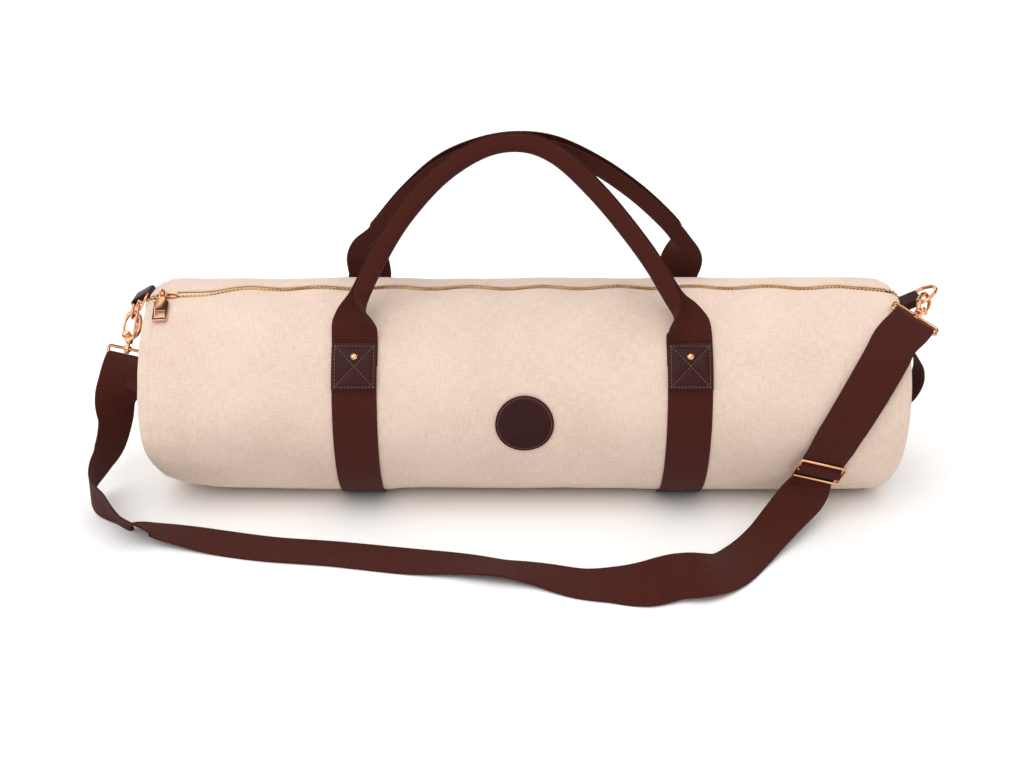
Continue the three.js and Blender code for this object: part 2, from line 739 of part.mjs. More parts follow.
function sliderOverEnd() {
  const slope = 62 * degree;
  const along = vec(Math.cos(slope), 0, Math.sin(slope));
  const frame = frameFrom(along, vec(-Math.sin(slope), 0, Math.cos(slope)));
  const rows = chainRows();
  const last = rows[0].at;
  const reach = Math.max(...rows.slice(0, 6).map((row) => row.at.dot(frame.out)));
  const base = last.clone().addScaledVector(frame.out, reach - last.dot(frame.out) + chainThick * 0.75 + gap);
  const pivot = base.clone().addScaledVector(frame.out, sliderThick + pullPivot);
  const lean = 76 * degree;
  const hang = vec(-Math.cos(lean), 0, -Math.sin(lean));
  return { base, frame, pivot, hang, axis: frame.wide, bridgeAlongZip: true };
}

function sliderMesh(seat) {
  return place(sliderShape(seat.bridgeAlongZip), seat.base, seat.frame.along, seat.frame.wide, seat.frame.out);
}

function pullMesh(seat) {
  const y = seat.hang.clone().negate();
  const x = seat.axis.clone().addScaledVector(y, -seat.axis.dot(y)).normalize();
  return place(pullShape(), seat.pivot, x, y, vec(0, 0, 0).crossVectors(x, y));
}

// End fittings: a leather tab, a D-ring in it, a swivel hook on the ring, a strap ring on the hook
const fittings = {
  left: {
    side: -1, y: 6, height: 0.945, tabRun: [-0.865, 0, -0.5], ringRun: [-0.27, 0, -0.96],
    holdAt: 90, hold: 4.7, hookUp: [0.2, 0.42, 0.885], hookAcross: [0.87, -0.5, 0],
  },
  right: {
    side: 1, y: -4, height: 0.905, tabRun: [0.9, 0, 0.42], ringRun: [0.85, 0, 0.52],
    holdAt: 12, hold: 3.0, hookUp: [0.5, 0.84, 0.21], hookAcross: [0.92, -0.12, -0.37],
  },
};

function dPoint(seat, angle) {
  return seat.bar.clone().addScaledVector(seat.across, (dWidth / 2) * Math.cos(angle))
    .addScaledVector(seat.ringRun, dDepth * Math.max(0, Math.sin(angle)) ** 0.8);
}

function fittingSeat(fitting) {
  const rise = (fitting.height * bagDiameter - axisHeight) / radius;
  const start = vec(fitting.side * half, fitting.y, fitting.height * bagDiameter);
  const dome = fitting.side < 0 ? domeLeft : domeRight;
  start.x = fitting.side * (half + dome * (1 - Math.min(1, (rise / 0.9) ** 2)) + tabThick / 2 + gap);
  const tabRun = vec(...fitting.tabRun).normalize();
  const bar = start.clone().addScaledVector(tabRun, tabLength);
  const ringRun = vec(...fitting.ringRun).normalize();
  const across = vec(0, 1, 0);
  const turn = fitting.holdAt * degree;
  const held = dPoint({ bar, across, ringRun }, Math.PI - turn);
  const hookUp = vec(...fitting.hookUp).normalize();
  const ringTurn = ringRun.clone().multiplyScalar(dDepth * Math.cos(turn))
    .addScaledVector(across, (dWidth / 2) * Math.sin(turn)).normalize();
  const normal = ringTurn.addScaledVector(hookUp, -ringTurn.dot(hookUp)).normalize();
  const eye = held.clone().addScaledVector(hookUp, -fitting.hold);
  const barDirection = vec(...fitting.hookAcross);
  barDirection.addScaledVector(hookUp, -barDirection.dot(hookUp)).normalize();
  const hub = eye.clone().addScaledVector(hookUp, -hubDrop);
  const lowerBar = hub.clone().addScaledVector(hookUp, -ringHeight);
  return { start, tabRun, bar, ringRun, across, hookUp, normal, eye, barDirection, hub, lowerBar };
}

function tab(seat) {
  const turns = 5;
  const arc = (x, from, to) => Array.from({ length: turns + 1 }, (_, i) => {
    const angle = from + ((to - from) * i) / turns;
    return new THREE.Vector2(x + (tabThick / 2) * Math.cos(angle), (tabThick / 2) * Math.sin(angle));
  });
  const outline = new THREE.Shape([
    ...arc(0, Math.PI / 2, (3 * Math.PI) / 2),
    ...arc(tabLength, -Math.PI / 2, Math.PI / 2),
  ]);
  const hole = new THREE.Path();
  hole.absarc(tabLength, 0, dWire + gap, 0, 2 * Math.PI, true);
  outline.holes.push(hole);
  const block = new THREE.ExtrudeGeometry(outline, { depth: tabWidth, bevelEnabled: false, curveSegments: 5 });
  block.translate(0, 0, -tabWidth / 2);
  const z = seat.across.clone();
  return place(block, seat.start, seat.tabRun, vec(0, 0, 0).crossVectors(z, seat.tabRun), z);
}

function dRing(seat) {
  const steps = 14;
  const bow = Array.from({ length: steps + 1 }, (_, i) => dPoint(seat, (i / steps) * Math.PI));
  const normal = vec(0, 0, 0).crossVectors(seat.across, seat.ringRun).normalize();
  return wire(bow, normal, dWire, true);
}

// Hook body in its own across, up directions: claw, cheeks for the gate, shank and rivet head
const pivotDrop = 12;
const cheekRadius = 3.8;

function hookBody(seat) {
  const sideways = vec(0, 0, 0).crossVectors(seat.hookUp, seat.normal).normalize();
  const at = (u, v, w = 0) => seat.eye.clone().addScaledVector(sideways, u)
    .addScaledVector(seat.hookUp, v).addScaledVector(seat.normal, w);
  const claw = new THREE.CatmullRomCurve3([
    at(-1, -pivotDrop - 3), at(-clawWide * 0.9, -pivotDrop + 4), at(-clawWide, 0),
    at(-clawWide * 0.72, clawHigh * 0.72), at(0, clawHigh), at(clawWide * 0.72, clawHigh * 0.72),
    at(clawWide, clawHigh * 0.12),
  ]);
  const rod = wire(claw.getPoints(10), seat.normal, clawWire, false);
  const turned = (geometry, position, axis) => {
    const x = Math.abs(axis.dot(seat.hookUp)) > 0.5 ? seat.normal : seat.hookUp;
    return place(geometry, position, x, axis, vec(0, 0, 0).crossVectors(x, axis));
  };
  const cheek = (w) => turned(disc(cheekRadius, 1.6, 10), at(3.2, -pivotDrop, w), seat.normal);
  const base = turned(disc(3.4, 3.2, 10), at(0, -pivotDrop - 5.6), seat.hookUp);
  const bridge = place(new THREE.BoxGeometry(7, 4, 6.4), at(1.2, -pivotDrop - 3.6), sideways, seat.hookUp, seat.normal);
  const shank = turned(disc(1.5, 8.6, 8), at(0, -hubDrop + 0.9), seat.hookUp);
  const head = turned(disc(2.4, 1.2, 10), at(0, -hubDrop - 3.6), seat.hookUp);
  return join(rod, cheek(2.5), cheek(-2.5), base, bridge, shank, head);
}

function hookGate(seat) {
  const sideways = vec(0, 0, 0).crossVectors(seat.hookUp, seat.normal).normalize();
  const at = (u, v) => seat.eye.clone().addScaledVector(sideways, u).addScaledVector(seat.hookUp, v);
  const root = place(disc(2.2, 2.4, 10), at(4.2, -pivotDrop + 0.9), seat.hookUp, seat.normal,
    vec(0, 0, 0).crossVectors(seat.hookUp, seat.normal));
  const tipV = clawHigh * 0.12 - gap - 0.6;
  const rod = wire([at(4.4, -pivotDrop + 1), at(clawWide, -pivotDrop + 5), at(clawWide, tipV)], seat.normal, 1.1, false);
  return join(root, rod);
}

function roundedLoop(seat, width, height, corner, shiftUp) {
  const steps = 3;
  const points = [];
  for (const [sx, sy, from] of [[1, 1, 0], [-1, 1, 90], [-1, -1, 180], [1, -1, 270]]) {
    for (let i = 0; i <= steps; i += 1) {
      const angle = (from + (90 * i) / steps) * degree;
      const x = sx * (width / 2 - corner) + corner * Math.cos(angle);
      const y = sy * (height / 2 - corner) + corner * Math.sin(angle) + shiftUp;
      points.push(seat.origin.clone().addScaledVector(seat.x, x).addScaledVector(seat.y, y));
    }
  }
  return points;
}

function strapRing(seat) {
  const frame = { origin: seat.hub, x: seat.barDirection, y: seat.hookUp };
  const normal = vec(0, 0, 0).crossVectors(seat.barDirection, seat.hookUp).normalize();
  const loop = wire(roundedLoop(frame, ringWidth, ringHeight, ringCorner, -ringHeight / 2), normal, ringWire, true);
  const x = seat.barDirection;
  const upright = (geometry) => place(geometry, seat.hub, x, seat.hookUp, normal);
  const hub = upright(new THREE.LatheGeometry([
    new THREE.Vector2(0, -2.6), new THREE.Vector2(3, -2.6), new THREE.Vector2(3.6, 0),
    new THREE.Vector2(3, 2.6), new THREE.Vector2(0, 2.6),
  ], 10));
  return cut(join(loop, hub), upright(disc(1.5 + gap, 8, 10)));
}

// Strap adjuster on the bag's front, and the strap that runs through it
const strapInner = 2.2;
const strapOuter = strapInner + webThick + 0.5;
const adjusterOut = strapOuter + webThick / 2 + gap + adjusterWire;
const adjusterAround = 113;
const barSink = 0.9;
const sewnTable = [
  { drop: 26, out: -2.4 },
  { drop: 14, out: -2.6 },
  { drop: 5, out: -2.7 },
];
const climbFrom = 98;
const climbTo = 42.5;

// A place on the strap's run up the bag's front, by its angle from the top
function upFront(around, out) {
  return skin(valueAt(climb, around, 'around', 'along') * half, around * degree, out);
}

function adjusterSeat() {
  const at = upFront(adjusterAround, adjusterOut);
  const run = upFront(adjusterAround - 10, adjusterOut).sub(at).normalize();
  const normal = upFront(adjusterAround, adjusterOut).sub(upFront(adjusterAround, 0)).normalize();
  const wide = vec(0, 0, 0).crossVectors(run, normal).normalize();
  return { origin: at, x: wide, y: run, normal: vec(0, 0, 0).crossVectors(wide, run).normalize() };
}

function adjuster() {
  const seat = adjusterSeat();
  const loop = wire(roundedLoop(seat, adjusterWidth, adjusterHeight, ringCorner, 0), seat.normal, adjusterWire, true);
  const bar = wire([
    seat.origin.clone().addScaledVector(seat.x, -adjusterWidth / 2).addScaledVector(seat.normal, -barSink),
    seat.origin.clone().addScaledVector(seat.x, adjusterWidth / 2).addScaledVector(seat.normal, -barSink),
  ], seat.normal, adjusterWire * 0.85, false);
  return join(loop, bar);
}

// Rows round a ring bar, from the layer on one side to the layer on the other
function wrapRows(centre, wide, up1, out1, reach) {
  return [-80, -40, 0, 40, 80].map((angle) => ({
    at: centre.clone().addScaledVector(up1, reach * Math.cos(angle * degree))
      .addScaledVector(out1, reach * Math.sin(angle * degree)),
    wide,
  }));
}

function strap() {
  const left = fittingSeat(fittings.left);
  const right = fittingSeat(fittings.right);
  const reach = ringWire + 1.3 * gap + webThick / 2;
  const free = strapTable.map((row) => {
    const tilt = row.tilt * degree;
    const turn = row.turn * degree;
    const wide = vec(Math.cos(turn) * Math.cos(tilt), Math.sin(turn) * Math.cos(tilt), Math.sin(tilt));
    const rise = Math.abs((webWidth / 2) * Math.sin(tilt)) + (webThick / 2) * Math.cos(tilt);
    return { at: vec(row.along * half, -row.out * radius, row.lift * radius + rise), wide };
  });
  const leftWide = left.barDirection.clone();
  const leftPull = left.lowerBar.clone().sub(free[0].at);
  leftPull.addScaledVector(leftWide, -leftPull.dot(leftWide)).normalize();
  const leftOut = vec(0, 0, 0).crossVectors(leftWide, leftPull).normalize();
  if (leftOut.y > 0) leftOut.negate();
  const toStrap = free[0].at.clone().sub(left.lowerBar);
  const sewn = sewnTable.map(({ drop, out }) => ({
    at: left.lowerBar.clone().addScaledVector(toStrap, drop / toStrap.length()).addScaledVector(leftOut, out),
    wide: leftWide,
  }));
  const leftWrap = wrapRows(left.lowerBar, leftWide, leftPull, leftOut, reach);
  const seat = adjusterSeat();
  const through = [
    { run: -1, out: strapOuter + 4.5 }, { run: -0.75, out: strapOuter + 0.8 },
    { run: -0.5, out: strapOuter }, { run: -0.34, out: strapOuter + 0.5 },
    { run: -0.15, out: adjusterOut + 1.3 }, { run: 0, out: adjusterOut + 1.7 },
    { run: 0.15, out: adjusterOut + 1.3 }, { run: 0.34, out: strapOuter + 0.5 },
    { run: 0.5, out: strapOuter }, { run: 0.75, out: strapOuter },
  ].map((row) => ({
    at: seat.origin.clone().addScaledVector(seat.y, row.run * adjusterHeight)
      .addScaledVector(seat.normal, row.out - adjusterOut),
    wide: seat.x.clone().negate(),
  }));
  const lying = (around, out) => {
    const run = upFront(around - 3, out).sub(upFront(around + 3, out));
    const normal = upFront(around, out).sub(upFront(around, 0));
    return { at: upFront(around, out), wide: vec(0, 0, 0).crossVectors(normal, run).normalize() };
  };
  const climbRows = 9;
  const rising = Array.from({ length: climbRows }, (_, i) => (
    climbFrom + ((climbTo - climbFrom) * i) / (climbRows - 1)
  ));
  const rightOut = vec(0, 0, 0).crossVectors(right.barDirection, right.hookUp).normalize();
  if (rightOut.z < 0) rightOut.negate();
  const rightWide = right.barDirection.clone().negate();
  const toRing = (at, out) => ({
    at: right.lowerBar.clone().addScaledVector(right.hookUp, -at).addScaledVector(rightOut, out),
    wide: rightWide,
  });
  const rightWrap = wrapRows(right.lowerBar, rightWide, right.hookUp, rightOut, reach).reverse();
  const rows = [
    ...sewn, ...leftWrap, ...free, ...through,
    ...rising.map((around) => lying(around, strapOuter)),
    toRing(6, reach * 0.9), ...rightWrap, toRing(6, -reach * 0.75),
    ...rising.slice().reverse().map((around) => lying(around, strapInner)),
    ...[0.9, 0.35].map((run) => ({
      at: seat.origin.clone().addScaledVector(seat.y, run * adjusterHeight)
        .addScaledVector(seat.normal, strapInner - adjusterOut),
      wide: seat.x.clone().negate(),
    })),
  ];
  return strip(rows, webWidth, webThick);
}

function endHandle(side, table, y) {
  const rows = table.map((row) => {
    const z = row.height * bagDiameter;
    const share = Math.abs(z - axisHeight) / (radius * 0.9);
    const dome = side < 0 ? domeLeft : domeRight;
    const face = half + dome * (1 - share * share) + webThick / 2 + gap + 0.5;
    return { at: vec(side * (face + row.bulge * radius), y, z), wide: vec(0, 1, 0) };
  });
  return strip(rows, endHandleWidth, webThick);
}

// Materials and assembly

function finish(color, roughness, metalness) {
  return () => new THREE.MeshStandardMaterial({ color, roughness, metalness });
}

const canvasCloth = finish(0xf0dccb, 0.9, 0);
const webbing = finish(0x50201a, 0.85, 0);
const leather = finish(0x3c1a16, 0.5, 0);
const roseGold = finish(0xd7a06e, 0.25, 1);
const brassTeeth = finish(0xb58a4a, 0.35, 1);
const zipCloth = finish(0xe8d3bd, 0.9, 0);

const bag = new THREE.Group();

function add(name, geometry, material) {
  const mesh = new THREE.Mesh(geometry, material());
  mesh.name = name;
  bag.add(mesh);
}

add('body_panel', bodyPanel(), canvasCloth);
add('end_panel_left', endPanel(-1), canvasCloth);
add('end_panel_right', endPanel(1), canvasCloth);
add('zip_tape_front', zipTape(1), zipCloth);
add('zip_tape_back', zipTape(-1), zipCloth);
add('zip_chain', strip(chainRows(), chainWidth, chainThick), brassTeeth);

for (const [name, seat] of [['top', sliderOnTop()], ['end', sliderOverEnd()]]) {
  add(`zip_slider_${name}`, sliderMesh(seat), roseGold);
  add(`zip_pull_${name}`, pullMesh(seat), roseGold);
}

['left', 'right'].forEach((name, i) => {
  add(`band_${name}`, band(bandX[i]), webbing);
  for (const [face, side] of [['front', 1], ['back', -1]]) {
    add(`patch_${face}_${name}`, patch(bandX[i], side), leather);
    add(`rivet_${face}_${name}`, rivet(bandX[i], side), roseGold);
  }
});
add('handle_front', handle(frontHandle, 1), webbing);
add('handle_back', handle(backHandle, -1), webbing);
add('badge', badge(), leather);

for (const [name, fitting] of Object.entries(fittings)) {
  const seat = fittingSeat(fitting);
  add(`end_tab_${name}`, tab(seat), leather);
  add(`d_ring_${name}`, dRing(seat), roseGold);
  add(`hook_body_${name}`, hookBody(seat), roseGold);
  add(`hook_gate_${name}`, hookGate(seat), roseGold);
  add(`strap_ring_${name}`, strapRing(seat), roseGold);
}
add('end_handle_left', endHandle(-1, endHandleLeft, 5), webbing);
add('end_handle_right', endHandle(1, endHandleRight, 0), webbing);
add('strap_adjuster', adjuster(), roseGold);
add('shoulder_strap', strap(), webbing);

export default bag;
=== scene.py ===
"""Looks of the yoga mat bag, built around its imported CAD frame. Lengths below are millimetres unless
a name ends in _m, and every mesh is made in metres in the frame's own axes."""

import math

import bmesh
import bpy
import numpy as np
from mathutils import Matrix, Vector, noise


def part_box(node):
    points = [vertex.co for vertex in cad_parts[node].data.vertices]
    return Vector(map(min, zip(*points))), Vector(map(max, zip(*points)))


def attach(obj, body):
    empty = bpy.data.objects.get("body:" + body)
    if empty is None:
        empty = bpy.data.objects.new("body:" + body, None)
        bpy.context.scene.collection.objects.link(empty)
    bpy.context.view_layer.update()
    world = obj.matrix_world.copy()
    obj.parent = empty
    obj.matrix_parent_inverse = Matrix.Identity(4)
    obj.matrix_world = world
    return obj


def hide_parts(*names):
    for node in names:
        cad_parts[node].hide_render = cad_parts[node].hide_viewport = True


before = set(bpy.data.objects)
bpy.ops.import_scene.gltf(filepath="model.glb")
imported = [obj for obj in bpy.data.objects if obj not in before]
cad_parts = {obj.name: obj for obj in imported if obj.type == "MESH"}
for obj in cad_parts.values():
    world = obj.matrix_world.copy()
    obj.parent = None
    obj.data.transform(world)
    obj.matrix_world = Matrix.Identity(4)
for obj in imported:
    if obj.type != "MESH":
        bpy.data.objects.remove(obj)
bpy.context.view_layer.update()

MM = 0.001
BAG = "bag"
DEGREE = math.pi / 180

# Driving sizes of the bag, the same as the part's
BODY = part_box("body_panel")
HALF = (BODY[1][0] - BODY[0][0]) / 2 / MM
RADIUS = 95.0
AXIS_HEIGHT = RADIUS - 4.0
CANVAS = 1.6
GAP = 0.4
DOME = {-1: 3.0, 1: 16.0}
WEB = 38.0
WEB_THICK = 1.8
WEB_LIFT = 0.5
BAND_X = [-144.5, 140.5]
BAND_SPREAD = BAND_X[1] - BAND_X[0]
BAND_SHIFT = (BAND_X[1] + BAND_X[0]) / 2
BAND_BLEND = 14.0
HANDLE_TOP = 318.0
HANDLE_APART = 14.0
HANDLE_LIP = 1.5
PATCH_HEIGHT = 39.0
PATCH_THICK = 1.6
PATCH_ANGLE = 55.8 * DEGREE
RIVET_RAISE = 8.0
BADGE_RADIUS = 25.0
BADGE_THICK = 2.0
BADGE_ANGLE = 85.5 * DEGREE
SLOT_FRONT = 3.8
SLOT_BACK = 6.5
ZIP_PATCH = 16.5
ZIP_WAVE_LENGTH = 66.0
ZIP_RISE = 2.0
ZIP_SWAY = 2.0
CHAIN_THICK = 2.2
CHAIN_WIDTH = 5.0
CHAIN_SINK = 0.7
CHAIN_END_OUT = 1.6
CHAIN_EASE = 15.0
BACK_PUFF, BACK_PUFF_ANGLE, BACK_PUFF_REACH = 3.6, -27.0, 26.0

# How finely cloth is drawn
CLOTH_STEP = 3.3
WEB_STEP = 3.0

# Shape tables, the same rows as the part's
GIRTH = np.array([
    # along, girth, lift
    (-1.0, 0.935, 0.25), (-0.985, 0.966, 0.17), (-0.96, 0.986, 0.11), (-0.9, 0.995, 0.05),
    (-0.78, 1.0, 0.0), (0.9, 1.0, 0.0), (0.96, 0.99, 0.005), (0.985, 0.968, 0.02), (1.0, 0.92, 0.05),
])
ZIP_LINE = np.array([
    # along, share of the radius towards the front
    (-1.0, 0.185), (-0.9, 0.165), (-0.7, 0.03), (0.8, 0.0), (1.0, 0.07),
])
DENTS = [
    # along, around in degrees, depth, reach
    (-0.32, 36, 0.022, 0.26), (0.33, 38, 0.02, 0.26), (-0.68, 104, 0.028, 0.45), (-0.88, 72, 0.02, 0.3),
    (0.66, 104, 0.026, 0.36), (0.05, 66, 0.012, 0.6), (0.22, -82, 0.022, 0.5), (-0.6, -74, 0.02, 0.45),
]
FRONT_HANDLE = np.array([
    # along, rise, fold
    (-1.0, 0.1, 0.08), (-0.985, 0.17, 0.45), (-0.955, 0.25, 0.9), (-0.863, 0.415, 1), (-0.7, 0.637, 1),
    (-0.453, 0.86, 1), (-0.192, 0.985, 1), (0.02, 1.0, 1), (0.2, 0.94, 1), (0.43, 0.765, 1),
    (0.65, 0.545, 1), (0.79, 0.38, 1), (0.9, 0.222, 0.85), (0.955, 0.15, 0.45), (0.99, 0.085, 0.08),
])
BACK_HANDLE = np.array([
    (-0.985, 0.1, 0.03), (-0.99, 0.22, 0.2), (-0.975, 0.33, 0.6), (-0.9, 0.42, 1), (-0.695, 0.66, 1),
    (-0.46, 0.86, 1), (-0.19, 0.965, 1), (0.02, 0.985, 1), (0.2, 0.955, 1), (0.46, 0.83, 1),
    (0.69, 0.67, 1), (0.86, 0.52, 1), (0.97, 0.4, 0.95), (1.02, 0.29, 0.5), (1.03, 0.19, 0.15),
    (1.01, 0.09, 0.03),
])
STRAP = [
    # along, out, lift, turn, tilt
    (-1.108, 0.14, 1.02, 2, 0), (-1.121, 0.175, 0.86, 34, 0), (-1.124, 0.21, 0.68, 52, 0),
    (-1.138, 0.32, 0.35, 59, -39), (-1.156, 0.42, 0.196, 80, -64), (-1.172, 0.65, 0.092, 113, -71),
    (-1.152, 0.87, 0.028, 100, -79), (-1.091, 1.07, 0.003, 65, -70), (-1.035, 1.25, 0.015, 87, -43),
    (-0.978, 1.2, 0, 89, -17), (-0.895, 1.25, 0, 84, -7), (-0.783, 1.35, 0, 78, 0),
    (-0.661, 1.45, 0, 81, 0), (-0.49, 1.53, 0, 86, 0), (-0.297, 1.66, 0, 86, 1),
    (-0.168, 1.73, 0, 83, -6), (-0.062, 1.83, 0, 83, -12), (0.038, 1.89, 0, 76, -4),
    (0.143, 2.05, 0, 75, 7), (0.221, 2.12, 0, 79, 18), (0.301, 2.21, 0, 84, 42),
    (0.376, 2.15, 0.03, 96, 42), (0.439, 2.13, 0.05, 106, 36), (0.505, 1.93, 0.03, 111, 16),
    (0.569, 1.62, 0.015, 118, 7), (0.628, 1.36, 0.05, 128, 5), (0.678, 1.18, 0.13, 143, 9),
    (0.718, 1.05, 0.2, 162, 14),
]
CLIMB = np.array([
    # around, along
    (42.5, 0.956), (52.8, 0.925), (62.5, 0.895), (72.2, 0.866), (82.2, 0.838), (93, 0.811),
    (103, 0.793), (113, 0.775),
])
END_HANDLES = {
    # height as a share of the diameter, bulge as a share of the radius
    1: (0.0, [(0.745, 0), (0.68, 0.045), (0.6, 0.12), (0.53, 0.125), (0.46, 0.075), (0.4, 0.0),
              (0.34, 0.018), (0.26, 0.004), (0.17, 0)]),
    -1: (5.0, [(0.745, 0), (0.71, 0.055), (0.64, 0.07), (0.54, 0.05), (0.45, 0.01), (0.36, 0.012),
               (0.27, 0)]),
}
END_HANDLE_WIDTH = 34.0


# Camera, lights and floor

CAMERA_ANGLE = 25 * DEGREE
CAMERA_DISTANCE_M = 1.3
CAMERA_TARGET_M = Vector((-0.0107, 0.0, 0.092))
LENS = 50.0
SKY_LOW, SKY_HIGH = 0.35, 1.3
SUN_STRENGTH = 0.9
ROOM_GAPS = 2.6


def look_at(obj, target):
    obj.rotation_euler = (target - obj.location).to_track_quat("-Z", "Y").to_euler()


def camera():
    data = bpy.data.cameras.new("camera")
    data.lens = LENS
    data.sensor_width = 36.0
    obj = bpy.data.objects.new("camera", data)
    obj.location = CAMERA_TARGET_M + CAMERA_DISTANCE_M * Vector(
        (0, -math.cos(CAMERA_ANGLE), math.sin(CAMERA_ANGLE)))
    look_at(obj, CAMERA_TARGET_M)
    bpy.context.collection.objects.link(obj)
    bpy.context.scene.camera = obj


def softbox(name, place, target, size, watts):
    data = bpy.data.lights.new(name, "AREA")
    data.shape = "RECTANGLE"
    data.size, data.size_y = size
    data.energy = watts
    obj = bpy.data.objects.new(name, data)
    obj.location = place
    look_at(obj, Vector(target))
    bpy.context.collection.objects.link(obj)


def studio():
    """White room: light from overhead that fades to the horizon, a soft sun and a small softbox."""
    world = bpy.data.worlds.new("studio")
    bpy.context.scene.world = world
    world.use_nodes = True
    tree = world.node_tree
    way = add_node(tree, "ShaderNodeTexCoord").outputs["Generated"]
    height = add_node(tree, "ShaderNodeSeparateXYZ", Vector=way)
    level = add_node(tree, "ShaderNodeMapRange", Value=height.outputs["Z"], From_Min=0.0, From_Max=1.0,
                     To_Min=SKY_LOW, To_Max=SKY_HIGH)
    # What only the metal mirrors: lamps and dark gaps of the room, so that it doesn't look flat
    gaps = add_node(tree, "ShaderNodeTexNoise", Vector=way, Scale=ROOM_GAPS, Detail=0.0)
    lamps = add_node(tree, "ShaderNodeMapRange", Value=gaps.outputs[0], From_Min=0.46, From_Max=0.56,
                     To_Min=0.05, To_Max=1.8)
    ray = add_node(tree, "ShaderNodeLightPath")
    lit = add_node(tree, "ShaderNodeMix", Factor=ray.outputs["Is Glossy Ray"], A=level.outputs[0],
                   B=lamps.outputs[0])
    seen = add_node(tree, "ShaderNodeMix", Factor=ray.outputs["Is Camera Ray"], A=lit.outputs[0], B=1.0)
    tree.links.new(seen.outputs[0], tree.nodes["Background"].inputs["Strength"])
    tree.nodes["Background"].inputs["Color"].default_value = (1.0, 0.995, 0.985, 1)
    sun = bpy.data.lights.new("soft_sun", "SUN")
    sun.energy = SUN_STRENGTH
    sun.angle = 50 * DEGREE
    obj = bpy.data.objects.new("soft_sun", sun)
    obj.location = (-0.5, -1.1, 2.2)
    look_at(obj, Vector((0, 0, 0)))
    bpy.context.collection.objects.link(obj)
    softbox("front_light", (-0.9, -1.7, 1.1), (0, 0, 0.1), (0.7, 0.7), 3)
    bpy.context.scene.view_settings.view_transform = "Standard"


# Small tools

def srgb(code):
    """A colour from its sRGB hex value, as linear numbers."""
    parts = [int(code[i:i + 2], 16) / 255 for i in (1, 3, 5)]
    return [p / 12.92 if p <= 0.04045 else ((p + 0.055) / 1.055) ** 2.4 for p in parts] + [1.0]


def add_node(tree, kind, settings=None, **links):
    """Adds a node, sets its settings, and fills its inputs with values or with other nodes' outputs."""
    node = tree.nodes.new(kind)
    for key, value in (settings or {}).items():
        setattr(node, key, value)
    for key, value in links.items():
        name = key.replace("_", " ")
        socket = node.inputs[int(key[1:])] if key[0] == "i" and key[1:].isdigit() else node.inputs[name]
        if isinstance(value, bpy.types.NodeSocket):
            tree.links.new(value, socket)
        else:
            socket.default_value = value
    return node


def smooth(t):
    s = np.clip(t, 0, 1)
    return s * s * (3 - 2 * s)


def through(xs, ys, x, level=False):
    """A smooth curve through the rows of a table; a level one never passes beyond a row's value."""
    xs, ys = np.asarray(xs, float), np.asarray(ys, float)
    slope = np.gradient(ys, xs)
    if level:
        rise = np.diff(ys) / np.diff(xs)
        before, after = np.append(rise[0], rise), np.append(rise, rise[-1])
        slope = np.where(before * after > 0, 2 * before * after / (before + after + 1e-12), 0.0)
    x = np.clip(x, xs[0], xs[-1])
    i = np.clip(np.searchsorted(xs, x, "right") - 1, 0, len(xs) - 2)
    h = xs[i + 1] - xs[i]
    t = (x - xs[i]) / h
    return ((2 * t**3 - 3 * t**2 + 1) * ys[i] + (t**3 - 2 * t**2 + t) * h * slope[i]
            + (3 * t**2 - 2 * t**3) * ys[i + 1] + (t**3 - t**2) * h * slope[i + 1])


def unit(v):
    v = np.asarray(v, float)
    return v / np.maximum(np.linalg.norm(v, axis=-1, keepdims=True), 1e-9)


def resample(points, count, extra=None):
    """Points spread evenly along a smooth curve through the given ones, with the same done to extra."""
    p = np.asarray(points, float)
    s = np.concatenate([[0], np.cumsum(np.sqrt(np.linalg.norm(np.diff(p, axis=0), axis=1)))])
    fine = np.linspace(0, s[-1], len(p) * 24)
    dense = np.stack([through(s, p[:, k], fine) for k in range(3)], axis=1)
    length = np.concatenate([[0], np.cumsum(np.linalg.norm(np.diff(dense, axis=0), axis=1))])
    even = np.interp(np.linspace(0, length[-1], count), length, fine)
    out = np.stack([through(s, p[:, k], even) for k in range(3)], axis=1)
    if extra is None:
        return out
    e = np.asarray(extra, float)
    return out, np.stack([through(s, e[:, k], even) for k in range(e.shape[1])], axis=1)


camera()
studio()


# Materials

def material(name, **values):
    made = bpy.data.materials.new(name)
    made.use_nodes = True
    shader = made.node_tree.nodes["Principled BSDF"]
    for key, value in values.items():
        shader.inputs[key.replace("_", " ")].default_value = value
    return made, made.node_tree, shader


def mix_colour(tree, share, dark, light):
    node = add_node(tree, "ShaderNodeMix", {"data_type": "RGBA"})
    tree.links.new(share, node.inputs["Factor"])
    node.inputs[6].default_value = srgb(dark)
    node.inputs[7].default_value = srgb(light)
    return node.outputs[2]


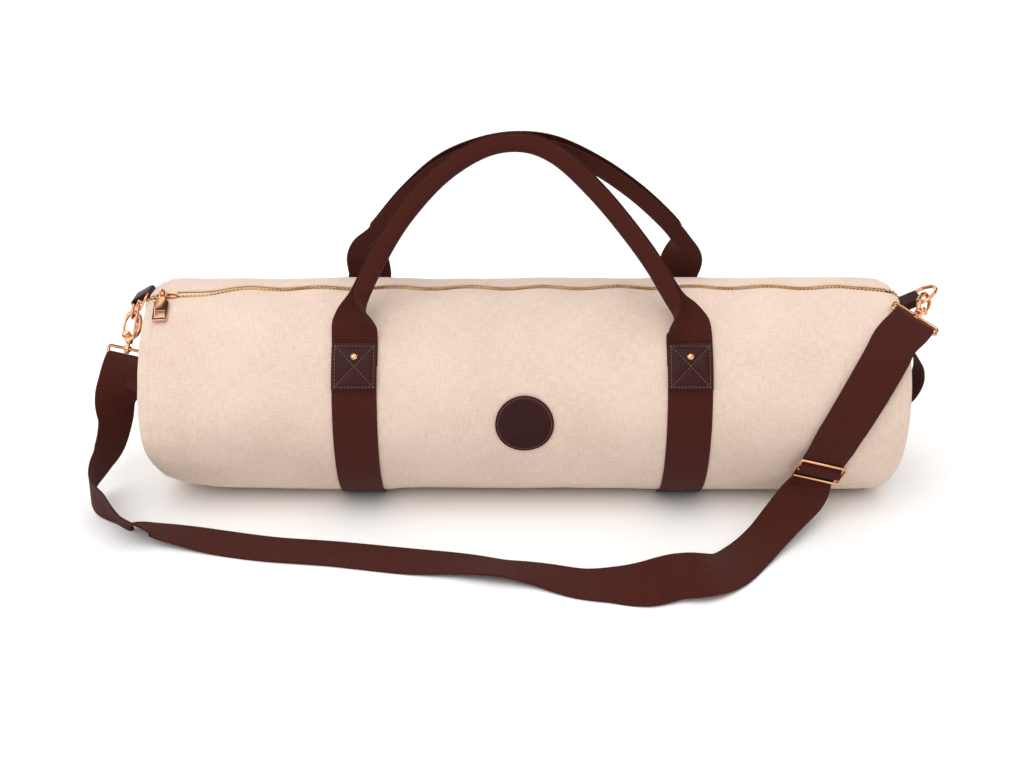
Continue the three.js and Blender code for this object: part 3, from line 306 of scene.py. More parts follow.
def weave(tree, pitch, diagonal):
    """Height of a woven cloth from its UV map, which is in metres: threads cross every pitch mm."""
    uv = add_node(tree, "ShaderNodeTexCoord").outputs["UV"]
    xyz = add_node(tree, "ShaderNodeSeparateXYZ", Vector=uv)
    turn = 2 * math.pi / (pitch * MM)
    u, v = xyz.outputs["X"], xyz.outputs["Y"]
    if diagonal:
        a = add_node(tree, "ShaderNodeMath", {"operation": "ADD"}, i0=u, i1=v).outputs[0]
        b = add_node(tree, "ShaderNodeMath", {"operation": "SUBTRACT"}, i0=u, i1=v).outputs[0]
    else:
        a, b = u, v
    waves = []
    for part in (a, b):
        scaled = add_node(tree, "ShaderNodeMath", {"operation": "MULTIPLY"}, i0=part, i1=turn).outputs[0]
        waves.append(add_node(tree, "ShaderNodeMath", {"operation": "SINE"}, i0=scaled).outputs[0])
    product = add_node(tree, "ShaderNodeMath", {"operation": "MULTIPLY"}, i0=waves[0], i1=waves[1])
    return add_node(tree, "ShaderNodeMath", {"operation": "MULTIPLY_ADD"},
                    i0=product.outputs[0], i1=0.5, i2=0.5).outputs[0]


def slub_noise(tree, length, width):
    """Uneven threads that run both ways on a cloth with a UV map in metres."""
    uv = add_node(tree, "ShaderNodeTexCoord").outputs["UV"]
    total = None
    for scale in ((1 / length, 1 / width, 1.0), (1 / width, 1 / length, 1.0)):
        turned_uv = add_node(tree, "ShaderNodeMapping", Vector=uv, Scale=[c / MM for c in scale])
        row = add_node(tree, "ShaderNodeTexNoise", {"noise_dimensions": "2D"}, Vector=turned_uv.outputs[0],
                       Scale=1.0, Detail=1.0)
        half = add_node(tree, "ShaderNodeMath", {"operation": "MULTIPLY"}, i0=row.outputs[0], i1=0.5)
        half = half.outputs[0]
        total = half if total is None else add_node(tree, "ShaderNodeMath", i0=total, i1=half).outputs[0]
    return total


def mottle(tree, size, detail=3.0):
    """Soft uneven patches about size mm across, in object space."""
    where = add_node(tree, "ShaderNodeTexCoord").outputs["Object"]
    made = add_node(tree, "ShaderNodeTexNoise", Vector=where, Scale=1 / (size * MM), Detail=detail)
    return made.outputs[0]


def bump(tree, shader, height, depth, strength):
    node = add_node(tree, "ShaderNodeBump", Height=height, Distance=depth * MM, Strength=strength)
    tree.links.new(node.outputs["Normal"], shader.inputs["Normal"])


# Plain-woven cotton canvas, unwashed: matt, with a fine square thread grid and thicker slubs that run
# along both threads. The threads are 0.7 mm apart on the real one, and drawn at 1.5 mm to show.
CANVAS_THREAD = 1.5
SLUB_LENGTH = 9.0
SLUB_WIDTH = 1.0
canvas, tree, shader = material("cotton_canvas", Roughness=0.95, Sheen_Weight=0.08, Sheen_Roughness=0.6)
shader.inputs["Specular IOR Level"].default_value = 0.2
threads = weave(tree, CANVAS_THREAD, False)
slubs = slub_noise(tree, SLUB_LENGTH, SLUB_WIDTH)
texture = add_node(tree, "ShaderNodeMath", {"operation": "MULTIPLY_ADD"}, i0=threads, i1=0.25,
                   i2=slubs).outputs[0]
shade = add_node(tree, "ShaderNodeMath", {"operation": "MULTIPLY_ADD"}, i0=mottle(tree, 55, 3), i1=0.5,
                 i2=texture).outputs[0]
spread_out = add_node(tree, "ShaderNodeMapRange", Value=shade, From_Min=0.5, From_Max=1.1).outputs[0]
tree.links.new(mix_colour(tree, spread_out, "#CFB5A3", "#E4CEBF"), shader.inputs["Base Color"])
bump(tree, shader, texture, 0.3, 0.5)

# Heavy cotton webbing woven in a tight basket: the raised threads repeat every 1.7 mm, half of the
# value below, along and across it. Its colour follows the weave's height: painted shade darkens the
# gaps between the threads and a painted highlight lightens the raised threads.
WEB_THREAD = 3.4
webbing, tree, shader = material("cotton_webbing", Roughness=0.9, Sheen_Weight=0.04, Sheen_Roughness=0.5)
shader.inputs["Specular IOR Level"].default_value = 0.15
rib_height_and_gap_shade = weave(tree, WEB_THREAD, True)
# Painted shade in the gaps and painted highlight on the raised threads, taken from the weave's height
tree.links.new(mix_colour(tree, rib_height_and_gap_shade, "#1C0705", "#5C251C"), shader.inputs["Base Color"])
bump(tree, shader, rib_height_and_gap_shade, 0.6, 0.7)

# Smooth split leather with a thin satin finish: dark, with a fine pebbled grain and soft highlights.
LEATHER_GRAIN = 1.1
leather, tree, shader = material("split_leather", Roughness=0.45)
shader.inputs["Specular IOR Level"].default_value = 0.14
where = add_node(tree, "ShaderNodeTexCoord").outputs["Object"]
grain = add_node(tree, "ShaderNodeTexVoronoi", Vector=where, Scale=1 / (LEATHER_GRAIN * MM))
tree.links.new(mix_colour(tree, mottle(tree, 12), "#290D0B", "#371411"), shader.inputs["Base Color"])
bump(tree, shader, grain.outputs["Distance"], 0.12, 0.35)

# Die-cast zinc with polished pale rose-gold plating: a mirror finish that is slightly soft.
rose_gold, tree, shader = material("rose_gold_plate", Metallic=1.0, Roughness=0.14)
shader.inputs["Base Color"].default_value = srgb("#DDA27A")

# Pressed brass zip teeth, lightly brushed by use.
brass, tree, shader = material("brass_teeth", Metallic=1.0, Roughness=0.3)
shader.inputs["Base Color"].default_value = srgb("#D6A95C")

# Woven polyester zip tape, cream and flat.
tape_cloth, tree, shader = material("zip_tape", Roughness=0.9)
shader.inputs["Base Color"].default_value = srgb("#EAD6C0")

# Waxed polyester sewing thread: one to match the canvas, one to match the leather.
pale_thread, tree, shader = material("pale_thread", Roughness=0.6)
shader.inputs["Base Color"].default_value = srgb("#E9CDB2")
dark_thread, tree, shader = material("brown_thread", Roughness=0.5)
shader.inputs["Base Color"].default_value = srgb("#82594C")

# Painted studio floor: nearly white and matt.
floor_paint, tree, shader = material("floor_paint", Roughness=0.7)
shader.inputs["Base Color"].default_value = srgb("#FBFBFB")


# Meshes

def finish_piece(obj, name, stuff, smooth_angle=40):
    obj.name = name
    obj.data.name = name
    obj.data.materials.clear()
    obj.data.materials.append(stuff)
    obj.data.polygons.foreach_set("use_smooth", [True] * len(obj.data.polygons))
    if smooth_angle:
        obj.data.set_sharp_from_angle(angle=math.radians(smooth_angle))
    return obj


def mesh_object(name, points, faces, stuff, uvs=None, smooth_angle=40):
    """An object from points in mm, with its UV map in metres if given one for each point."""
    data = bpy.data.meshes.new(name)
    data.from_pydata([tuple(p) for p in np.asarray(points) * MM], [], faces)
    if uvs is not None:
        layer = data.uv_layers.new(name="cloth")
        index = np.empty(len(data.loops), int)
        data.loops.foreach_get("vertex_index", index)
        layer.data.foreach_set("uv", (np.asarray(uvs)[index] * MM).ravel())
    obj = bpy.data.objects.new(name, data)
    bpy.context.collection.objects.link(obj)
    fix = bmesh.new()
    fix.from_mesh(data)
    bmesh.ops.remove_doubles(fix, verts=fix.verts, dist=1e-7)
    bmesh.ops.recalc_face_normals(fix, faces=fix.faces)
    fix.to_mesh(data)
    fix.free()
    return finish_piece(obj, name, stuff, smooth_angle)


def grid_normals(grid):
    along = np.gradient(grid, axis=0)
    across = np.gradient(grid, axis=1)
    return unit(np.cross(along, across))


def cloth(name, grid, thick, stuff, round_edge=True):
    """Closed cloth of even thickness round a middle surface of rows and columns of points."""
    grid = np.asarray(grid, float)
    rows, columns = grid.shape[:2]
    normal = grid_normals(grid)
    face = grid + normal * thick / 2
    back = grid - normal * thick / 2
    if round_edge:
        side = unit(np.gradient(grid, axis=1))
        left = grid[:, :1] - side[:, :1] * thick * 0.35
        right = grid[:, -1:] + side[:, -1:] * thick * 0.35
    else:
        left, right = grid[:, :1], grid[:, -1:]
    ring = np.concatenate([left, face, right, back[:, ::-1]], axis=1)
    count = ring.shape[1]
    across = np.linalg.norm(np.diff(grid, axis=1), axis=2).cumsum(axis=1)
    across = np.concatenate([np.zeros((rows, 1)), across], axis=1)
    run = np.linalg.norm(np.diff(grid, axis=0), axis=2).mean(axis=1).cumsum()
    run = np.concatenate([[0], run])
    u = np.concatenate([across[:, :1] - thick, across, across[:, -1:] + thick, across[:, ::-1]], axis=1)
    uvs = np.stack([u, np.repeat(run[:, None], count, axis=1)], axis=2).reshape(-1, 2)
    faces = []
    for i in range(rows - 1):
        for j in range(count):
            k = (j + 1) % count
            faces.append((i * count + j, i * count + k, (i + 1) * count + k, (i + 1) * count + j))
    for start in (0, (rows - 1) * count):
        for j in range(columns - 1):
            faces.append((start + 1 + j, start + 2 + j, start + count - 2 - j, start + count - 1 - j))
        faces.append((start, start + 1, start + count - 1))
        faces.append((start + columns, start + columns + 1, start + columns + 2))
    return mesh_object(name, ring.reshape(-1, 3), faces, stuff, uvs)


def tube(path, radius, closed, sides=14, squeeze=1.0, flat=None):
    """Points and faces of a round wire along a path; flat is the direction that squeeze narrows."""
    p = np.asarray(path, float)
    count = len(p)
    if closed:
        run = unit(np.roll(p, -1, axis=0) - np.roll(p, 1, axis=0))
    else:
        run = unit(np.gradient(p, axis=0))
    up = np.asarray(flat if flat is not None else (0.0, 0.0, 1.0), float)
    radii = np.broadcast_to(np.asarray(radius, float), (count,))
    side = unit(np.cross(up, run))
    top = unit(np.cross(run, side))
    turn = np.linspace(0, 2 * np.pi, sides, endpoint=False)
    rings = (p[:, None] + side[:, None] * np.cos(turn)[None, :, None] * radii[:, None, None]
             + top[:, None] * np.sin(turn)[None, :, None] * radii[:, None, None] * squeeze)
    faces = []
    for i in range(count if closed else count - 1):
        n = (i + 1) % count
        for j in range(sides):
            k = (j + 1) % sides
            faces.append((i * sides + j, i * sides + k, n * sides + k, n * sides + j))
    points = rings.reshape(-1, 3)
    if not closed:
        for end, sign in ((0, -1), (count - 1, 1)):
            tip = len(points)
            points = np.vstack([points, p[end] + sign * run[end] * radii[end] * 0.45])
            for j in range(sides):
                faces.append((end * sides + j, end * sides + (j + 1) % sides, tip))
    return points, faces


def turned(profile, origin, axis, sides=24):
    """Points and faces of a shape turned on an axis: profile rows are (radius, height)."""
    axis = unit(np.asarray(axis, float))
    first = unit(np.cross(axis, (0.0, 0.0, 1.0) if abs(axis[2]) < 0.9 else (1.0, 0.0, 0.0)))
    second = np.cross(axis, first)
    turn = np.linspace(0, 2 * np.pi, sides, endpoint=False)
    circle = first * np.cos(turn)[:, None] + second * np.sin(turn)[:, None]
    points = [np.asarray(origin, float) + circle * r + axis * h for r, h in profile]
    faces = []
    for i in range(len(profile) - 1):
        for j in range(sides):
            k = (j + 1) % sides
            faces.append((i * sides + j, i * sides + k, (i + 1) * sides + k, (i + 1) * sides + j))
    faces.append(tuple(range(sides)))
    faces.append(tuple(range((len(profile) - 1) * sides, len(profile) * sides)))
    return np.vstack(points), faces


def fused(name, shells, stuff, smooth_angle=40):
    """One object from several closed shells."""
    points, faces = [], []
    start = 0
    for shell_points, shell_faces in shells:
        points.append(shell_points)
        faces += [tuple(i + start for i in face) for face in shell_faces]
        start += len(shell_points)
    return mesh_object(name, np.vstack(points), faces, stuff, None, smooth_angle)


def rounded_copy(node, name, stuff, width, segments=2):
    """A CAD piece again, with its hard edges rounded."""
    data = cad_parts[node].data.copy()
    shape = bmesh.new()
    shape.from_mesh(data)
    bmesh.ops.remove_doubles(shape, verts=shape.verts, dist=1e-5)
    bmesh.ops.dissolve_limit(shape, angle_limit=2 * DEGREE, verts=shape.verts, edges=shape.edges)
    shape.to_mesh(data)
    shape.free()
    obj = bpy.data.objects.new(name, data)
    bpy.context.collection.objects.link(obj)
    edge = obj.modifiers.new("rounded", "BEVEL")
    edge.width = width * MM
    edge.segments = segments
    edge.limit_method = "ANGLE"
    edge.angle_limit = 30 * DEGREE
    made = bpy.data.meshes.new_from_object(obj.evaluated_get(bpy.context.evaluated_depsgraph_get()))
    obj.modifiers.clear()
    obj.data = made
    return finish_piece(obj, name, stuff)


def place_piece(obj, body, slot, *nodes):
    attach(obj, body)
    if nodes:
        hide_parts(*nodes)
    return obj


# Rows of stitches and teeth, made with Geometry Nodes

TOOTH_SIDE = 1.2
TOOTH_ROW = dict(pitch=1.7, length=1.0, thickness=2.0)
CANVAS_STITCH = dict(pitch=3.2, length=2.3, thickness=0.4)
PATCH_STITCH = dict(pitch=2.9, length=2.2, thickness=0.6)
BADGE_STITCH = dict(pitch=2.6, length=2.0, thickness=0.5)


def repeat_tree(name, build_item):
    """A node group that puts an item along curves every Pitch, and ends in one material."""
    group = bpy.data.node_groups.new(name, "GeometryNodeTree")
    face = group.interface
    face.new_socket("Geometry", in_out="INPUT", socket_type="NodeSocketGeometry")
    for size in ("Pitch", "Length", "Thickness"):
        face.new_socket(size, in_out="INPUT", socket_type="NodeSocketFloat")
    face.new_socket("Material", in_out="INPUT", socket_type="NodeSocketMaterial")
    face.new_socket("Geometry", in_out="OUTPUT", socket_type="NodeSocketGeometry")
    given = group.nodes.new("NodeGroupInput")
    spaced = add_node(group, "GeometryNodeResampleCurve", {"mode": "LENGTH"},
                      Curve=given.outputs["Geometry"], Length=given.outputs["Pitch"])
    run = group.nodes.new("GeometryNodeInputTangent")
    turn = add_node(group, "FunctionNodeAlignRotationToVector", {"axis": "Z"}, Vector=run.outputs[0])
    item, offset = build_item(group, given)
    points = add_node(group, "GeometryNodeInstanceOnPoints", Points=spaced.outputs[0],
                      Instance=item, Rotation=turn.outputs[0])
    shifted = points.outputs[0]
    if offset is not None:
        shifted = add_node(group, "GeometryNodeTranslateInstances", {}, Instances=shifted,
                           Translation=offset, Local_Space=False).outputs[0]
    real = add_node(group, "GeometryNodeRealizeInstances", Geometry=shifted)
    coloured = add_node(group, "GeometryNodeSetMaterial", Geometry=real.outputs[0],
                        Material=given.outputs["Material"])
    out = group.nodes.new("NodeGroupOutput")
    group.links.new(coloured.outputs[0], out.inputs[0])
    return group


def stitch_item(group, given):
    """One stitch: a short thick thread lying along the row."""
    thread = add_node(group, "GeometryNodeMeshUVSphere", Segments=6, Rings=5, Radius=0.5)
    size = add_node(group, "ShaderNodeCombineXYZ", X=given.outputs["Thickness"],
                    Y=given.outputs["Thickness"], Z=given.outputs["Length"])
    scaled = add_node(group, "GeometryNodeTransform", Geometry=thread.outputs[0], Scale=size.outputs[0])
    return scaled.outputs[0], None


def tooth_item(group, given):
    """One zip tooth, set to the left and to the right of the row in turn."""
    size = add_node(group, "ShaderNodeCombineXYZ", X=given.outputs["Thickness"],
                    Y=given.outputs["Thickness"], Z=given.outputs["Length"])
    tooth = add_node(group, "GeometryNodeMeshCube", Size=size.outputs[0])
    index = group.nodes.new("GeometryNodeInputIndex")
    parity = add_node(group, "ShaderNodeMath", {"operation": "MODULO"}, i0=index.outputs[0], i1=2.0)
    step = add_node(group, "ShaderNodeMath", {"operation": "MULTIPLY_ADD"},
                    i0=parity.outputs[0], i1=2 * TOOTH_SIDE * MM, i2=-TOOTH_SIDE * MM)
    offset = add_node(group, "ShaderNodeCombineXYZ", X=0.0, Y=step.outputs[0], Z=0.0)
    return tooth.outputs[0], offset.outputs[0]


STITCH_TREE = repeat_tree("stitch_row", stitch_item)
TOOTH_TREE = repeat_tree("tooth_row", tooth_item)


def rows_of(name, group, paths, stuff, pitch, length, thickness):
    """A plain mesh of the group's item repeated along each path in mm."""
    curve = bpy.data.curves.new(name, "CURVE")
    curve.dimensions = "3D"
    for path in paths:
        spline = curve.splines.new("POLY")
        spline.points.add(len(path) - 1)
        spline.points.foreach_set("co", np.hstack([np.asarray(path) * MM, np.ones((len(path), 1))]).ravel())
    obj = bpy.data.objects.new(name, curve)
    bpy.context.collection.objects.link(obj)
    modifier = obj.modifiers.new("row", "NODES")
    modifier.node_group = group
    values = {"Pitch": pitch * MM, "Length": length * MM, "Thickness": thickness * MM, "Material": stuff}
    for item in group.interface.items_tree:
        if item.in_out == "INPUT" and item.name in values:
            modifier[item.identifier] = values[item.name]
    made = bpy.data.meshes.new_from_object(obj.evaluated_get(bpy.context.evaluated_depsgraph_get()))
    bpy.data.objects.remove(obj)
    piece = bpy.data.objects.new(name, made)
    bpy.context.collection.objects.link(piece)
    return finish_piece(piece, name, stuff, 60)


# The canvas surface

def band_recess(x):
    near = np.min([np.abs(x - band) for band in BAND_X], axis=0)
    return (WEB_THICK + WEB_LIFT) * (1 - smooth((near - WEB / 2 - 2) / BAND_BLEND))


def dents(x, a):
    total = 0.0
    for along, around, depth, reach in DENTS:
        dx = x - along * HALF
        ds = (a - around * DEGREE) * RADIUS
        total = total + depth * RADIUS * np.exp(-(dx * dx + ds * ds) / (reach * RADIUS) ** 2)
    return total


def skin(x, a, out=0.0):
    """The canvas at x and at an angle from the top line towards the front, with a distance outside it."""
    x, a, out = np.broadcast_arrays(*(np.asarray(v, float) for v in (x, a, out)))
    a = np.where(a > np.pi, a - 2 * np.pi, a)
    near = np.exp(-((a * RADIUS / ZIP_PATCH) ** 2))
    wave = np.sin(2 * np.pi * x / ZIP_WAVE_LENGTH)
    calm = 1 - smooth((np.abs(x) / HALF - 0.82) / 0.12)
    shift = through(ZIP_LINE[:, 0], ZIP_LINE[:, 1], x / HALF, True) + ZIP_SWAY / RADIUS * wave * calm
    turned_angle = a + shift * near
    girth = through(GIRTH[:, 0], GIRTH[:, 1], x / HALF, True)
    lift = through(GIRTH[:, 0], GIRTH[:, 2], x / HALF, True)
    from_puff = (a - BACK_PUFF_ANGLE * DEGREE) * RADIUS / BACK_PUFF_REACH
    reach = RADIUS * girth + out - dents(x, a) + BACK_PUFF * np.exp(-from_puff**2)
    drop = np.where(np.cos(turned_angle) < 0, 1 - lift, 1.0)
    z = AXIS_HEIGHT + reach * np.cos(turned_angle) * drop + ZIP_RISE * wave * calm * near
    return np.stack([x, -reach * np.sin(turned_angle), np.maximum(z, band_recess(x) - out)], axis=-1)


def panel_point(side, share, a, out=0.0):
    rim = skin(side * HALF, a, -CANVAS - GAP)
    share = np.asarray(share, float)[..., None]
    middle = np.array([side * HALF, 0.0, AXIS_HEIGHT + (6.0 if side < 0 else 2.0)])
    point = middle + (rim - middle) * share
    point[..., 0] = side * (HALF + DOME[side] * (1 - share[..., 0] ** 2) + out)
    return point


def spread(start, end, step):
    return np.linspace(start, end, max(2, int(round(abs(end - start) / step)) + 1))


# Canvas body: soft folds press inward only, and die out under everything that is sewn on
FOLD_DEPTH = 1.5
FOLD_LENGTH = 85.0


def soft_folds(x, a):
    fade = np.ones_like(x)
    for band in BAND_X:
        fade = fade * smooth((np.abs(x - band) - WEB / 2) / 16)
    badge_gap = np.hypot(x, (a - BADGE_ANGLE) * RADIUS) - BADGE_RADIUS
    fade = fade * smooth(badge_gap / 18)
    a = np.where(a > np.pi, a - 2 * np.pi, a)
    fade = fade * smooth((np.abs(a) * RADIUS - 14) / 20)
    flat = [noise.fractal(Vector((u / FOLD_LENGTH, s / (FOLD_LENGTH * 0.8), 3.7)), 0.8, 2.1, 3)
            for u, s in zip(x.ravel(), (a * RADIUS).ravel())]
    ripple = np.array(flat).reshape(x.shape)
    return -FOLD_DEPTH * fade * (0.55 + np.clip(ripple, -0.55, 0.9))


def canvas_body():
    angles = spread(SLOT_FRONT / RADIUS, 2 * np.pi - SLOT_BACK / RADIUS, CLOTH_STEP / RADIUS)
    xs = spread(-HALF, HALF, CLOTH_STEP)
    x, a = np.meshgrid(xs, angles, indexing="ij")
    arc_front = (a - angles[0]) * RADIUS
    arc_back = (angles[-1] - a) * RADIUS
    hem = 0.5 * np.exp(-((arc_front - 2) / 3) ** 2) + 0.6 * np.exp(-((arc_back - 3) / 4) ** 2)
    seam = -0.7 * np.exp(-(((HALF - np.abs(x)) - 6) / 1.8) ** 2)
    pucker = 0.35 * np.sin(a * RADIUS / 3.6) * np.exp(-((HALF - np.abs(x)) / 12) ** 2)
    out = -CANVAS / 2 + soft_folds(x, a) + hem + seam + pucker
    body = cloth("canvas_body", skin(x, a, out), CANVAS, canvas)
    return place_piece(body, BAG, "canvas", "body_panel")


def end_cap(side, name):
    shares = np.linspace(1.0, 0.02, 30)
    angles = np.linspace(0, 2 * np.pi, 120)
    share, a = np.meshgrid(shares, angles, indexing="ij")
    out = -CANVAS / 2 - 0.5 * np.exp(-((share - 0.93) / 0.02) ** 2)
    cap = cloth(f"end_cap_{name}", panel_point(side, share, a, out)[:, ::side], CANVAS, canvas, False)
    return place_piece(cap, BAG, "canvas", f"end_panel_{name}")


def bands():
    for x, name in zip(BAND_X, ("left", "right")):
        first = PATCH_ANGLE + GAP / RADIUS
        angles = spread(first, 2 * np.pi - first, WEB_STEP / RADIUS)
        across = np.linspace(x - WEB / 2 + 0.5, x + WEB / 2 - 0.5, 9)
        a, xs = np.meshgrid(angles, across, indexing="ij")
        piece = cloth(f"webbing_band_{name}", skin(xs, a, WEB_LIFT + WEB_THICK / 2), WEB_THICK, webbing)
        place_piece(piece, BAG, "webbing", f"band_{name}")


# Leather patches: the crossed stitches pull the leather down into four soft triangles

PATCH_BASE = WEB_LIFT + WEB_THICK + GAP
STITCH_INSET = 2.6


def patch_point(x, side, u, v, out):
    """u and v run from -1 to 1 across and up the patch."""
    angle = side * (PATCH_ANGLE - v * PATCH_HEIGHT / 2 / RADIUS)
    return skin(x + u * WEB / 2, angle, PATCH_BASE + out)


def patch_puff(u, v):
    border = (1 - np.maximum(np.abs(u), np.abs(v))) * WEB / 2
    cross = np.minimum(np.abs(u - v), np.abs(u + v)) * WEB / 2 * 0.7
    at_stitches = 1 - np.exp(-((border - STITCH_INSET) / 1.3) ** 2)
    return 0.9 * (1 - np.exp(-cross / 2.4)) * smooth((border - 1) / 5) + 0.25 * at_stitches


def leather_patches():
    rows, thread = [], []
    for x, name in zip(BAND_X, ("left", "right")):
        for side, face in ((1, "front"), (-1, "back")):
            v, u = np.meshgrid(np.linspace(-1, 1, 44), np.linspace(-1, 1, 44), indexing="ij")
            grid = patch_point(x, side, u * 0.985, v, PATCH_THICK / 2 + patch_puff(u, v))
            piece = cloth(f"leather_patch_{face}_{name}", grid, PATCH_THICK, leather)
            place_piece(piece, BAG, "leather", f"patch_{face}_{name}")
            edge = 1 - 2 * STITCH_INSET / WEB
            t = np.linspace(-edge, edge, 30)
            lines = [(t, np.full(30, edge)), (t, np.full(30, -edge)), (np.full(30, edge), t),
                     (np.full(30, -edge), t), (t, t), (t, -t)]
            for lu, lv in lines:
                thread.append(patch_point(x, side, lu, lv, PATCH_THICK + patch_puff(lu, lv) - 0.05))
            rows.append(rivet(x, side, f"{face}_{name}"))
    piece = rows_of("patch_stitches", STITCH_TREE, thread, dark_thread, **PATCH_STITCH)
    place_piece(piece, BAG, "leather")


def rivet(x, side, name):
    angle = side * (PATCH_ANGLE - RIVET_RAISE / RADIUS)
    foot = skin(x, angle, PATCH_BASE + PATCH_THICK + 0.2)
    axis = unit(skin(x, angle, 1.0) - skin(x, angle, 0.0))
    profile = [(3.1, 0.0), (3.15, 0.5), (2.9, 1.1), (2.3, 1.6), (1.2, 1.95), (0.3, 2.05)]
    piece = fused(f"rivet_cap_{name}", [turned(profile, foot, axis)], rose_gold, 60)
    return place_piece(piece, BAG, "rose_gold", f"rivet_{name}")


def leather_badge():
    """Round badge: a raised rim, a pressed ring inside it and a plain middle."""
    shares = np.concatenate([np.linspace(1.0, 0.6, 32), np.linspace(0.56, 0.02, 12)])
    turns = np.linspace(0, 2 * np.pi, 97)
    share, t = np.meshgrid(shares, turns, indexing="ij")
    press = -0.45 * np.exp(-((share - 0.72) / 0.022) ** 2) - 0.25 * np.exp(-((share - 0.92) / 0.03) ** 2)
    dome = -0.8 * smooth((share - 0.9) / 0.1)
    out = WEB_LIFT + BADGE_THICK / 2 + press + dome * 0.5
    x = BADGE_RADIUS * share * np.cos(t)
    a = BADGE_ANGLE + BADGE_RADIUS * share * np.sin(t) / RADIUS
    piece = cloth("leather_badge", skin(x, a, out), BADGE_THICK, leather, False)
    place_piece(piece, BAG, "leather", "badge")
    ring = 0.92 * BADGE_RADIUS
    turns = np.linspace(0, 2 * np.pi, 90)
    around = BADGE_ANGLE + ring * np.sin(turns) / RADIUS
    path = skin(ring * np.cos(turns), around, WEB_LIFT + BADGE_THICK - 0.2)
    stitches = rows_of("badge_stitches", STITCH_TREE, [path], dark_thread, **BADGE_STITCH)
    place_piece(stitches, BAG, "leather")


# Carry handles: webbing folded lengthwise, its open edges on the outer side of the arch

def handle_section(fold, points=15):
    bend, turn = 95 * fold * DEGREE, 90 * fold * DEGREE
    crease = -HANDLE_LIP * fold
    near = WEB * 0.3
    halves = []
    for sign, length in ((-1, WEB / 2 + crease), (1, WEB / 2 - crease)):
        s = np.linspace(0, length, points // 2 + 1)
        fine = np.linspace(0, length, 60)
        curl = bend * smooth(fine / near)
        heading = (curl if sign > 0 else np.pi - curl) - turn
        dx = np.concatenate([[0], np.cumsum(np.cos(heading[:-1]) * np.diff(fine))])
        dy = np.concatenate([[0], np.cumsum(np.sin(heading[:-1]) * np.diff(fine))])
        halves.append(np.stack([np.interp(s, fine, dx), np.interp(s, fine, dy)], axis=1))
    middle = np.vstack([halves[0][::-1], halves[1][1:]])
    return middle - middle.mean(axis=0)


def handle(table, side, name):
    layer = WEB_LIFT + WEB_THICK / 2
    reach = PATCH_HEIGHT / 2 / RADIUS

    def seat(x, turn, share):
        angle = side * (PATCH_ANGLE - GAP / RADIUS - reach * share)
        left, right = skin(x - WEB / 2, angle, layer), skin(x + WEB / 2, angle, layer)
        return (left + right) / 2, (right - left) * turn, 0.0

    foot = skin(BAND_X[0], side * (PATCH_ANGLE - reach), layer)
    rise_height = HANDLE_TOP - foot[2]
    lean = (-side * HANDLE_APART / 2 - foot[1]) / rise_height
    line = np.stack([table[:, 0] * BAND_SPREAD / 2, table[:, 1] * rise_height, np.zeros(len(table))], 1)
    arch, fold = resample(line, 110, table[:, 2:])
    run = unit(np.gradient(arch, axis=0))
    rows = [seat(BAND_X[0], -1, s) for s in (0, 0.5, 1)]
    for point, heading, f in zip(arch, run, fold[:, 0]):
        at = np.array([BAND_SHIFT + point[0], foot[1] + point[1] * lean, foot[2] + point[1]])
        rows.append((at, np.array([-heading[1], heading[0] * lean, heading[0]]), float(np.clip(f, 0, 1))))
    rows += [seat(BAND_X[1], 1, s) for s in (1, 0.5, 0)]
    centre = np.array([r[0] for r in rows])
    across = unit(np.array([unit(r[1]) for r in rows]))
    centre, extra = resample(centre, 190, np.hstack([across, np.array([[r[2]] for r in rows])]))
    run = unit(np.gradient(centre, axis=0))
    across = extra[:, :3]
    across = unit(across - run * (across * run).sum(axis=1, keepdims=True))
    out = np.cross(run, across) * side
    grid = []
    for c, w, o, f in zip(centre, across, out, np.clip(extra[:, 3], 0, 1)):
        section = handle_section(f)
        grid.append(c + w * section[:, :1] + o * section[:, 1:])
    piece = cloth(f"webbing_handle_{name}", np.array(grid), WEB_THICK, webbing)
    return place_piece(piece, BAG, "webbing", f"handle_{name}")


# Zip: tapes, teeth, sliders and pulls

def chain_out(x):
    return -CHAIN_SINK + (CHAIN_SINK + CHAIN_END_OUT) * smooth((np.abs(x) - HALF + CHAIN_EASE) / CHAIN_EASE)


